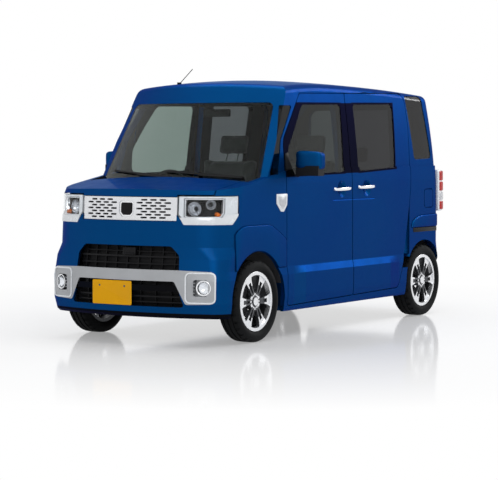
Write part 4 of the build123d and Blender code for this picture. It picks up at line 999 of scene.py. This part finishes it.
# %% Side skin
SIDE_TABLE = [(0.205, 0.7260), (0.290, 0.7370), (0.445, 0.7375), (0.505, 0.7270), (1.010, 0.7250),
              (1.085, 0.7240), (1.130, 0.7105), (1.320, 0.6975), (1.560, 0.6715), (1.860, 0.6335)]
HANDLE_HALF, HANDLE_TALL, HANDLE_LIFT = 0.120, 0.012, 0.020


def side_x(z):
    """Outer face of the body's left side at this height."""
    return read_off(SIDE_TABLE, z)


def add_handle(shape, y, z):
    """Pull handle 240 mm long, drawn on the left side."""
    base = side_x(z)
    verts = add_block(shape, (base + 0.001, y - HANDLE_HALF, z - HANDLE_TALL),
                      (base + 0.013, y + HANDLE_HALF, z + HANDLE_TALL), 0.004, 3)
    for i in range(-9, 10):
        verts = sliced(shape, verts, (0, y + i * 0.012, 0), (0, 1, 0))
    for vert in {v for v in verts if v.is_valid}:
        along = (vert.co.y - y) / HANDLE_HALF
        narrow = 0.55 + 0.45 * max(0.0, 1 - along * along) ** 0.5
        vert.co.x += HANDLE_LIFT * max(0.0, 1 - abs(along) ** 3)
        vert.co.z = z + (vert.co.z - z) * narrow + 0.003 * along


HANDLES = {"front_door": (0.030, 1.031), "sliding_door": (0.390, 1.040)}
for kind, (y, z) in HANDLES.items():
    for side, way in SIDES:
        handle = bmesh.new()
        add_handle(handle, y, z)
        x = side_x(z)
        for y_low, y_high in ((y + 0.090, y + 0.122), (y - 0.122, y - 0.090)):
            add_block(handle, (x - 0.003, y_low, z - 0.010), (x + 0.006, y_high, z + 0.010), 0.003)
        if way < 0:
            moved(handle, handle.verts[:], MIRROR)
        body = f"front_door_{side}" if kind == "front_door" else "shell"
        finished(f"{kind}_handle_{side}", handle, chrome, body)

SWELL = [(1.112, 0.704), (1.130, 0.752), (1.165, 0.778), (1.215, 0.795), (1.285, 0.804), (1.545, 0.808),
         (1.545, 0.704)]
FLARE_TOP = [(-1.400, 0.750), (-1.370, 0.777), (-1.320, 0.798), (-1.270, 0.806), (-0.990, 0.804),
             (-0.940, 0.793), (-0.884, 0.765), (-0.800, 0.722), (-0.757, 0.690), (-0.757, 0.500)]
FLARE_FOOT = (-1.400, 0.500)
ARCH_Z, ARCH_RADIUS, ARCH_START, ARCH_SPAN, ARCH_STEPS = 0.2895, 0.3365, 39, 102, 16
FLARE_SUNK = 0.0005

rails, swell, flare = bmesh.new(), bmesh.new(), bmesh.new()
add_block(rails, (0.708, 1.146, 0.668), (0.7285, 1.545, 0.702), 0.003)
add_block(rails, (0.716, 1.150, 0.681), (0.7310, 1.540, 0.686), 0.001)
mirrored_too(rails)
finished("slide_rails", rails, black_plastic, "shell")
add_prism(swell, [(0.715, y, z) for y, z in SWELL], (0.024, 0, 0), 0.015, 5)
arch_turns = [math.radians(ARCH_START + ARCH_SPAN * i / ARCH_STEPS) for i in range(ARCH_STEPS + 1)]
arch = [(FRONT_AXLE_Y + ARCH_RADIUS * math.cos(t), ARCH_Z + ARCH_RADIUS * math.sin(t)) for t in arch_turns]
add_prism(flare, [(0.0, y, z) for y, z in FLARE_TOP + arch + [FLARE_FOOT]], (0.010, 0, 0), 0.0085, 4)
cut_rows(flare, 1, -1.39, -0.77, 0.02)
for vert in flare.verts:
    vert.co.x += flank_x(vert.co.y, vert.co.z) - FLARE_SUNK
mirrored_too(flare)
finished("arch_flares", flare, paint_plain, "shell")
mirrored_too(swell)
finished("rail_swells", swell, paint_plain, "shell")

LAMP_PLATE = [(-0.884, 1.012), (-0.748, 1.012), (-0.742, 1.004), (-0.748, 0.932), (-0.790, 0.888),
              (-0.826, 0.888), (-0.884, 0.944)]
PLATE_MIDDLE, LENS_SHARE = (-0.812, 0.957), 0.66
side_lamp, side_rim = bmesh.new(), bmesh.new()
skin_x = side_x(0.95)
lens_line = shrunk(LAMP_PLATE, PLATE_MIDDLE, LENS_SHARE)
add_prism(side_rim, [(skin_x - 0.001, y, z) for y, z in LAMP_PLATE], (0.007, 0, 0), 0.002)
add_prism(side_lamp, [(skin_x + 0.004, y, z) for y, z in lens_line], (0.0055, 0, 0), 0.0015)
mirrored_too(side_rim)
mirrored_too(side_lamp)
finished("side_lamp_rims", side_rim, frame_white, "shell")
ribbed = Recipe("side_lamp_lens", roughness=0.12, transmission_weight=0.2, ior=1.49)
lens_ribs_and_painted_glints = ribbed.waves(ribbed.z, 700)
# The lens colour goes lighter and darker with the same ribs as its bump: painted glints and shade on the
# ribs, over their real relief.
ribbed.put("Base Color", ribbed.mix(ribbed.level(lens_ribs_and_painted_glints, -1, 1), (0.55, 0.57, 0.60), (0.85, 0.86, 0.88)))
ribbed.bump(lens_ribs_and_painted_glints, 0.0006, 0.6)
finished("side_lamp_lenses", side_lamp, ribbed.material, "shell")
print("handles, rails and side lamps ready")

# %% [markdown]
# ## Door mirrors
# A mirror's head is a rounded box that is fuller at its outer lower corner. A coarse cage with a
# subdivision modifier gives that softness. The painted cap, the black lower part and the glass are
# separate pieces on the door's body.

# %% Door mirrors
def add_cage(shape, low, high, cuts, bend):
    """Block sliced a few times and reshaped by bend, to be smoothed by subdivision."""
    verts = bmesh.ops.create_cube(shape, size=1)["verts"]
    low, high = Vector(low), Vector(high)
    moved(shape, verts, Matrix.Translation((low + high) / 2) @ Matrix.Diagonal((*(high - low), 1)))
    bmesh.ops.subdivide_edges(shape, edges=shape.edges[:], cuts=cuts, use_grid_fill=True)
    for vert in shape.verts:
        part = Vector(((vert.co[i] - low[i]) / (high[i] - low[i]) for i in range(3)))
        vert.co = bend(vert.co.copy(), part)


def softened(piece, levels):
    modifier = piece.modifiers.new("soften", "SUBSURF")
    modifier.levels = modifier.render_levels = levels
    return piece


def mirror_bend(point, part):
    point.z += 0.010 * (1 - part.x) - 0.012 * (1 - part.y) * (0.5 - part.z)
    point.y += 0.018 * part.x * (1 - part.y)
    return point


MIRROR_BRACKET = [(0.700, -0.640, 1.128), (0.760, -0.640, 1.165), (0.800, -0.630, 1.178),
                  (0.800, -0.600, 1.178), (0.760, -0.600, 1.150), (0.705, -0.600, 1.115)]
# Sail in front of the door glass: height where the side skin is read, inset, y and z of each corner.
SAIL = [(1.13, 0.010, -0.732, 1.112), (1.13, 0.010, -0.600, 1.112), (1.13, 0.010, -0.600, 1.135),
        (1.20, 0.010, -0.665, 1.215), (1.28, 0.012, -0.692, 1.300), (1.28, 0.012, -0.732, 1.290)]
MIRROR_FACE = [(0.762, -0.5745, 1.196), (0.926, -0.5745, 1.190), (0.930, -0.5745, 1.280),
               (0.766, -0.5745, 1.288)]

for side, way in SIDES:
    cap = bmesh.new()
    add_cage(cap, (0.742, -0.668, 1.180), (0.943, -0.572, 1.300), 2, mirror_bend)
    base, glass_face = bmesh.new(), bmesh.new()
    add_cage(base, (0.745, -0.660, 1.136), (0.930, -0.578, 1.206), 2, lambda p, t: p)
    add_prism(base, MIRROR_BRACKET, (0, 0.028, 0), 0.004)
    add_prism(base, [(side_x(level) - inset, y, z) for level, inset, y, z in SAIL], (0.017, 0, 0), 0.003)
    add_prism(glass_face, MIRROR_FACE, (0, 0.003, 0), 0.001)
    for shape in (cap, base, glass_face):
        if way < 0:
            moved(shape, shape.verts[:], MIRROR)
    body = f"front_door_{side}"
    softened(finished(f"mirror_cap_{side}", cap, paint_plain, body, [f"door_mirror_{side}"]), 2)
    finished(f"mirror_base_{side}", base, black_plastic, body)
    finished(f"mirror_glass_{side}", glass_face, chrome, body)
print("mirrors ready")

# %% [markdown]
# ## Wipers
# A wiper is an arm on a pivot, with a thin flexible blade under it. The arm and the blade follow the
# bowed glass, so each is a bar sliced along its length and laid on the same surface as the windscreen.

# %% Wipers
SCREEN_FOOT_Y, SCREEN_FOOT_Z, SCREEN_TILT, SCREEN_RADIUS = -1.175, 1.088, math.radians(31.6), 1.790
STRIP_STEPS = 16
PIVOT_Z = 1.118


def screen_point(x, z, out):
    bow = (SCREEN_RADIUS - math.sqrt(SCREEN_RADIUS ** 2 - x * x)) / math.cos(SCREEN_TILT)
    foot = SCREEN_FOOT_Y + (z - SCREEN_FOOT_Z) * math.tan(SCREEN_TILT)
    return Vector((x, foot + bow - out * math.cos(SCREEN_TILT), z + out * math.sin(SCREEN_TILT)))


def add_strip(shape, xs, height_at, place, low, high, tall):
    """Bar along x whose section spans out distances low..high and heights +-tall, laid on a surface."""
    verts = add_block(shape, (xs[0], low, -tall), (xs[1], high, tall), 0)
    for i in range(1, STRIP_STEPS):
        x = xs[0] + (xs[1] - xs[0]) * i / STRIP_STEPS
        verts = sliced(shape, verts, (x, 0, 0), (1, 0, 0))
    for vert in set(verts):
        vert.co = place(vert.co.x, height_at(vert.co.x) + vert.co.z, vert.co.y)


wiper_arms, wiper_blades = bmesh.new(), bmesh.new()
screen_out = screen_point(0, 1.1, 1) - screen_point(0, 1.1, 0)
for pivot_x, tip_x in ((0.560, -0.030), (0.030, -0.560)):
    def arm_height(x, a=pivot_x, b=tip_x):
        return PIVOT_Z + 0.034 * (a - x) / (a - b)
    middle = (pivot_x + tip_x) / 2
    add_strip(wiper_arms, (middle - 0.02, pivot_x), arm_height, screen_point, 0.013, 0.021, 0.006)
    for low, high, tall in ((0.0095, 0.013, 0.0055), (0.0012, 0.0095, 0.0012)):
        add_strip(wiper_blades, (tip_x, pivot_x - 0.06), lambda x: arm_height(x) + 0.010, screen_point,
                  low, high, tall)
    add_disc(wiper_arms, screen_point(pivot_x, PIVOT_Z, 0.007), screen_out, 0.013, 0.020, 0.010, 24)
finished("wiper_arms", wiper_arms, black_plastic, "shell", ["front_wipers"])
finished("wiper_blades", wiper_blades, seal_rubber, "shell")
print("front wipers ready")

# %% [markdown]
# ## Tyres
# A tyre is a spun profile: flat tread with three grooves round it, round shoulders and a bulging
# sidewall. Cross grooves are cut by pushing every third row of shoulder faces inwards. A brake disc turns
# inside each wheel.

# %% Tyres
TYRE_PROFILE = [(-0.057, 0.191), (-0.057, 0.207), (-0.066, 0.209), (-0.0735, 0.217), (-0.079, 0.228),
                (-0.0815, 0.2385), (-0.080, 0.250), (-0.0755, 0.262), (-0.070, 0.2705), (-0.064, 0.2765),
                (-0.056, 0.2795), (-0.042, 0.2806), (-0.0405, 0.2735), (-0.0335, 0.2735), (-0.032, 0.2812),
                (-0.0065, 0.2813), (-0.005, 0.2740)]
TYRE_STEPS = 90
SHOULDER_RADIUS, SHOULDER_ACROSS, GROOVE_DEPTH = 0.272, 0.045, 0.0035
DISC_X, DISC_SECTION = 0.656, [(0.000, 0.064), (0.000, 0.118), (0.008, 0.118), (0.008, 0.064)]
CORNERS = (("front_left", 1, FRONT_AXLE_Y), ("front_right", -1, FRONT_AXLE_Y),
           ("rear_left", 1, REAR_AXLE_Y), ("rear_right", -1, REAR_AXLE_Y))

tyre_rubber = Recipe("tyre_rubber")
dust = tyre_rubber.noise(26, 5)
tyre_rubber.put("Base Color", tyre_rubber.mix(tyre_rubber.level(dust, 0.35, 0.75), (0.004, 0.0045, 0.005),
                                              (0.012, 0.0125, 0.013)))
tyre_rubber.put("Roughness", tyre_rubber.level(dust, 0.3, 0.7, 0.62, 0.80))
tyre_rubber.put("Specular IOR Level", 0.10)
tyre_rubber.bump(tyre_rubber.noise(700, 3), 0.00025, 0.6)
profile = TYRE_PROFILE + [(-a, r) for a, r in reversed(TYRE_PROFILE)]
for corner, way, y in CORNERS:
    tyre = bmesh.new()
    add_turned(tyre, profile, (way * TRACK_HALF, y, AXLE_Z), (1, 0, 0), steps=TYRE_STEPS, closed=True)
    bmesh.ops.recalc_face_normals(tyre, faces=tyre.faces)
    shoulder = []
    for face in tyre.faces:
        spot = face.calc_center_median()
        radius, across = math.hypot(spot.y - y, spot.z - AXLE_Z), abs(abs(spot.x) - TRACK_HALF)
        step = int(round(math.atan2(spot.z - AXLE_Z, spot.y - y) / math.tau * TYRE_STEPS - 0.5)) % 3
        if radius > SHOULDER_RADIUS and across > SHOULDER_ACROSS and step == 0:
            shoulder.append(face)
    made = bmesh.ops.extrude_discrete_faces(tyre, faces=shoulder)
    for face in made["faces"]:
        for vert in face.verts:
            out = Vector((0, vert.co.y - y, vert.co.z - AXLE_Z)).normalized()
            vert.co -= out * GROOVE_DEPTH
    finished(f"tyre_tread_{corner}", tyre, tyre_rubber.material, f"wheel_{corner}",
             [f"tyre_{corner}"])
    disc = bmesh.new()
    add_turned(disc, DISC_SECTION, (way * DISC_X, y, AXLE_Z), (way, 0, 0), steps=48, closed=True)
    finished(f"brake_disc_{corner}", disc, cast_metal, f"wheel_{corner}")
print("tyres:", len(profile), "profile points,", TYRE_STEPS, "steps")

# %% [markdown]
# ## Seats
# Foam under stretched cloth bulges between its edges. Each cushion starts as a plain slab in its place, a
# little small, and is remeshed into small even faces. A cloth simulation with air pressure and no gravity
# then swells it, and a cap on how far a point may move keeps the size true. Seams are pressed in after.

# %% Slabs for cushions
def slab(points, x_low, x_high, edge):
    """Prism across the car over a (y, z) outline, with rounded edges."""
    shape = bmesh.new()
    add_prism(shape, [(x_low, y, z) for y, z in points], (x_high - x_low, 0, 0), edge, 3)
    return shape


VOXEL, VOXEL_QUICK = 0.006, 0.02
CLOTH_FRAMES = 20


def plumped(piece, cap):
    """Swell a piece by cloth pressure; no point moves further than cap."""
    modifier = piece.modifiers.new("even_faces", "REMESH")
    modifier.mode = "VOXEL"
    modifier.voxel_size = VOXEL
    baked(piece)
    before = [v.co.copy() for v in piece.data.vertices]
    cloth = piece.modifiers.new("cloth", "CLOTH")
    cloth.settings.use_pressure = True
    cloth.settings.uniform_pressure_force = 4
    cloth.settings.effector_weights.gravity = 0
    cloth.settings.quality = 4
    cloth.point_cache.frame_end = CLOTH_FRAMES
    for step in range(1, CLOTH_FRAMES + 1):
        bpy.context.scene.frame_set(step)
    baked(piece)
    bpy.context.scene.frame_set(1)
    for vert, old in zip(piece.data.vertices, before):
        move = vert.co - old
        if move.length > cap:
            vert.co = old + move.normalized() * cap
    return piece


def baked(piece):
    """Replace a piece's mesh by what its modifiers make, and drop them."""
    evaluated = piece.evaluated_get(bpy.context.evaluated_depsgraph_get())
    mesh = bpy.data.meshes.new_from_object(evaluated)
    old = piece.data
    piece.modifiers.clear()
    piece.data = mesh
    mesh.name = old.name
    bpy.data.meshes.remove(old)


def pressed_seams(piece, lines, depth, width):
    """Press seams in: each line is an axis, a place on it and the lowest and highest z it covers."""
    mesh = piece.data
    normals = [v.normal.copy() for v in mesh.vertices]
    for vert, normal in zip(mesh.vertices, normals):
        dip = 0.0
        for axis, place, low, high in lines:
            if low <= vert.co.z <= high:
                dip = max(dip, math.exp(-((vert.co[axis] - place) / width) ** 2))
        vert.co -= normal * depth * dip


def smooth_all(piece):
    shape = bmesh.new()
    shape.from_mesh(piece.data)
    for _ in range(3):
        bmesh.ops.smooth_vert(shape, verts=shape.verts, factor=0.5, use_axis_x=True, use_axis_y=True,
                              use_axis_z=True)
    shape.to_mesh(piece.data)
    shape.free()
    piece.data.polygons.foreach_set("use_smooth", [True] * len(piece.data.polygons))


SEAT_Y, REAR_SEAT_Y = -0.4825, 0.3575
SEAT_X, SEAT_WIDTH, REAR_WIDTH = 0.345, 0.500, 1.060
REAR_REST_X, FLOOR_Z, BASE_TOP = 0.290, 0.3005, 0.568
SLAB_SHORT, SLAB_EDGE = 0.012, 0.022
SEAM_DEPTH, SEAM_WIDTH = 0.006, 0.007
CUSHION = [(0.012, 0.572), (0.490, 0.552), (0.490, 0.650), (0.030, 0.680)]
BACK = [(0.455, 0.632), (0.550, 0.632), (0.686, 1.228), (0.612, 1.248)]
REST = [(0.645, 1.292), (0.716, 1.284), (0.742, 1.420), (0.680, 1.430)]
REAR_CUSHION = [(0.012, 0.572), (0.455, 0.552), (0.455, 0.640), (0.030, 0.670)]
REAR_BACK = [(0.436, 0.632), (0.512, 0.632), (0.616, 1.168), (0.558, 1.188)]
REAR_REST = [(0.584, 1.222), (0.642, 1.216), (0.664, 1.330), (0.614, 1.340)]


def seat_pad(name, outline, y, x_middle, width, cap, replaces=(), seams=()):
    points = [(y + a, b) for a, b in outline]
    x_low, x_high = x_middle - width / 2 + SLAB_SHORT, x_middle + width / 2 - SLAB_SHORT
    shape = slab(points, x_low, x_high, SLAB_EDGE)
    piece = finished(name, shape, seat_cloth, "shell", replaces)
    plumped(piece, cap)
    smooth_all(piece)
    pressed_seams(piece, seams, SEAM_DEPTH, SEAM_WIDTH)
    softened(piece, 1)
    return piece


def copied_across(piece, name, replaces=()):
    """The same pad on the other front seat."""
    mesh = piece.data.copy()
    mesh.transform(MIRROR)
    mesh.flip_normals()
    other = bpy.data.objects.new(name, mesh)
    bpy.context.scene.collection.objects.link(other)
    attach(other, "shell")
    if replaces:
        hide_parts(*replaces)
    softened(other, 1)
    return other


FRONT_SEAMS = [(0, -SEAT_X - 0.150, 0.5, 1.3), (0, -SEAT_X + 0.150, 0.5, 1.3)]
BACK_SEAM = (2, 1.02, 0.9, 1.1)
pads = [
    seat_pad("driver_cushion", CUSHION, SEAT_Y, -SEAT_X, SEAT_WIDTH, 0.012, ["driver_seat"], FRONT_SEAMS),
    seat_pad("driver_back", BACK, SEAT_Y, -SEAT_X, SEAT_WIDTH, 0.016, (), FRONT_SEAMS + [BACK_SEAM]),
    seat_pad("driver_headrest", REST, SEAT_Y, -SEAT_X, 0.260, 0.010),
]
copied_across(pads[0], "passenger_cushion", ["passenger_seat"])
copied_across(pads[1], "passenger_back")
copied_across(pads[2], "passenger_headrest")
REAR_SEAMS = [(0, 0.0, 0.5, 1.3), (0, -0.27, 0.5, 1.3), (0, 0.27, 0.5, 1.3)]
seat_pad("rear_cushion", REAR_CUSHION, REAR_SEAT_Y, 0, REAR_WIDTH, 0.012, ["rear_seat"], REAR_SEAMS)
seat_pad("rear_back", REAR_BACK, REAR_SEAT_Y, 0, REAR_WIDTH, 0.016, (), REAR_SEAMS)
for side, way in SIDES:
    seat_pad(f"rear_headrest_{side}", REAR_REST, REAR_SEAT_Y, way * REAR_REST_X, 0.240, 0.008)

bases, posts = bmesh.new(), bmesh.new()
for x in (-SEAT_X, SEAT_X):
    add_block(bases, (x - 0.190, SEAT_Y + 0.080, FLOOR_Z), (x + 0.190, SEAT_Y + 0.430, BASE_TOP), 0.012, 3)
    for apart in (-0.05, 0.05):
        add_disc(posts, (x + apart, SEAT_Y + 0.652, 1.215), (0, 0.045, 0.110), 0.006, 0.110, segments=16)
add_block(bases, (-0.480, REAR_SEAT_Y + 0.060, FLOOR_Z), (0.480, REAR_SEAT_Y + 0.300, BASE_TOP), 0.012, 3)
for x in (-REAR_REST_X, REAR_REST_X):
    for apart in (-0.045, 0.045):
        add_disc(posts, (x + apart, REAR_SEAT_Y + 0.592, 1.150), (0, 0.038, 0.110), 0.006, 0.100, segments=16)
finished("seat_bases", bases, trim_plastic, "shell")
finished("headrest_posts", posts, chrome, "shell")
print("seats ready, with", len(pads), "pads on each front seat")

# %% [markdown]
# ## Cabin details
# Through the windscreen one sees the inside mirror, the instrument hood and the air vents. An armrest runs
# along the inside of each front door.

# %% Cabin details
cabin = bmesh.new()
add_block(cabin, (-0.055, -0.642, 1.555), (0.175, -0.616, 1.610), 0.010, 3)
add_disc(cabin, (0.06, -0.635, 1.595), (0, -0.215, 0.040), 0.008, 0.204, segments=20)
finished("inside_mirror", cabin, black_plastic, "shell")
mirror_face = bmesh.new()
add_block(mirror_face, (-0.045, -0.6155, 1.561), (0.165, -0.6145, 1.604), 0.0004)
finished("inside_mirror_glass", mirror_face, chrome, "shell")
HOOD_X, HOOD_WIDE = -0.500, 0.310
HOOD = [(-0.860, 1.066), (-0.740, 1.050), (-0.715, 1.010), (-0.730, 1.095), (-0.790, 1.115)]
hood = bmesh.new()
add_prism(hood, [(HOOD_X, y, z) for y, z in HOOD], (HOOD_WIDE, 0, 0), 0.010, 3)
finished("instrument_hood", hood, trim_plastic, "shell")
vents = bmesh.new()
for x in (-0.56, -0.06, 0.06, 0.56):
    add_block(vents, (x - 0.045, -0.712, 0.955), (x + 0.045, -0.700, 1.010), 0.004)
    for i in range(4):
        z = 0.962 + i * 0.012
        add_block(vents, (x - 0.038, -0.7005, z), (x + 0.038, -0.6975, z + 0.004), 0.0008)
finished("air_vents", vents, black_plastic, "shell")
REST_OUTER, REST_INNER = 0.684, 0.630
for side, way in reversed(SIDES):
    grip = bmesh.new()
    x_low, x_high = sorted((way * REST_OUTER, way * REST_INNER))
    add_block(grip, (x_low, -0.55, 0.790), (x_high, 0.02, 0.840), 0.012, 3)
    finished(f"door_armrest_{side}", grip, trim_plastic, f"front_door_{side}")
print("cabin details ready")

# %% [markdown]
# ## The back of the car
# The tail lamps are tall clusters with moulded chambers. Between them the tailgate has a handle bar over
# its grip, a third stop lamp and a wiper. Reflectors sit in the bumper.

# %% Back of the car
TAIL_Y, TAIL_BOW = 1.6975, 6.4
TAIL_TABLE = [(0.205, 0.006), (0.290, 0.0), (0.445, 0.0), (0.505, 0.008), (0.585, 0.024), (0.850, 0.024),
              (1.010, 0.026), (1.130, 0.030), (1.320, 0.043), (1.560, 0.070), (1.860, 0.120)]
CELLS = [(0.836, 0.906), (0.912, 0.980), (0.986, 1.062), (1.068, 1.148)]
TAIL_LAMP_X = 0.655


def tail_y(x, z, out=0.0):
    """Outer face of the tail at (x, z)."""
    return TAIL_Y - read_off(TAIL_TABLE, z) - x * x / TAIL_BOW + out


tail_rims, tail_cells = bmesh.new(), bmesh.new()
for low, high in CELLS:
    y = tail_y(TAIL_LAMP_X, (low + high) / 2)
    add_block(tail_cells, (0.630, y - 0.030, low), (0.741, y + 0.034, high), 0.010, 3)
y_top, y_low = tail_y(TAIL_LAMP_X, 1.15), tail_y(TAIL_LAMP_X, 0.83)
rim_line = [(y_low - 0.040, 0.826), (y_low + 0.030, 0.826), (y_top + 0.030, 1.157), (y_top - 0.040, 1.157)]
add_prism(tail_rims, [(0.618, y, z) for y, z in rim_line], (0.118, 0, 0), 0.010, 3)
mirrored_too(tail_rims)
mirrored_too(tail_cells)
finished("tail_lamp_frames", tail_rims, frame_white, "shell", ["tail_lamps"])
finished("tail_lamp_cells", tail_cells, slot_finish["lamp_red"], "shell")

gate, stop, reflectors = bmesh.new(), bmesh.new(), bmesh.new()
y = tail_y(0, 0.93)
add_block(gate, (-0.300, y - 0.012, 0.905), (0.300, y, 0.945), 0.008, 3)
finished("tailgate_bar", gate, chrome, "tailgate")
y = tail_y(0, 1.70)
add_block(stop, (-0.150, y - 0.020, 1.690), (0.150, y + 0.004, 1.712), 0.004)
finished("high_stop_lamp", stop, slot_finish["lamp_red"], "tailgate")
y = tail_y(0.55, 0.35)
for x in (-0.55, 0.55):
    add_block(reflectors, (x - 0.045, y - 0.010, 0.335), (x + 0.045, y + 0.003, 0.365), 0.003)
finished("bumper_reflectors", reflectors, slot_finish["lamp_red"], "shell")


def gate_point(x, z, out):
    return Vector((x, tail_y(x, z, out), z))


rear_arm, rear_blade = bmesh.new(), bmesh.new()
REAR_SLOPE = 0.1576
add_strip(rear_arm, (-0.200, 0.000), lambda x: PIVOT_Z - REAR_SLOPE * x, gate_point, 0.012, 0.020, 0.007)
add_disc(rear_arm, (0, tail_y(0, PIVOT_Z) + 0.001, PIVOT_Z), (0, 1, 0), 0.014, 0.024, 0.011, 24)
add_strip(rear_blade, (-0.330, -0.050), lambda x: 1.124 - REAR_SLOPE * x, gate_point, 0.0015, 0.0125, 0.003)
finished("rear_wiper_arm", rear_arm, black_plastic, "tailgate", ["rear_wiper"])
finished("rear_wiper_blade", rear_blade, seal_rubber, "tailgate")
print("tail ready")

# %% Last measures
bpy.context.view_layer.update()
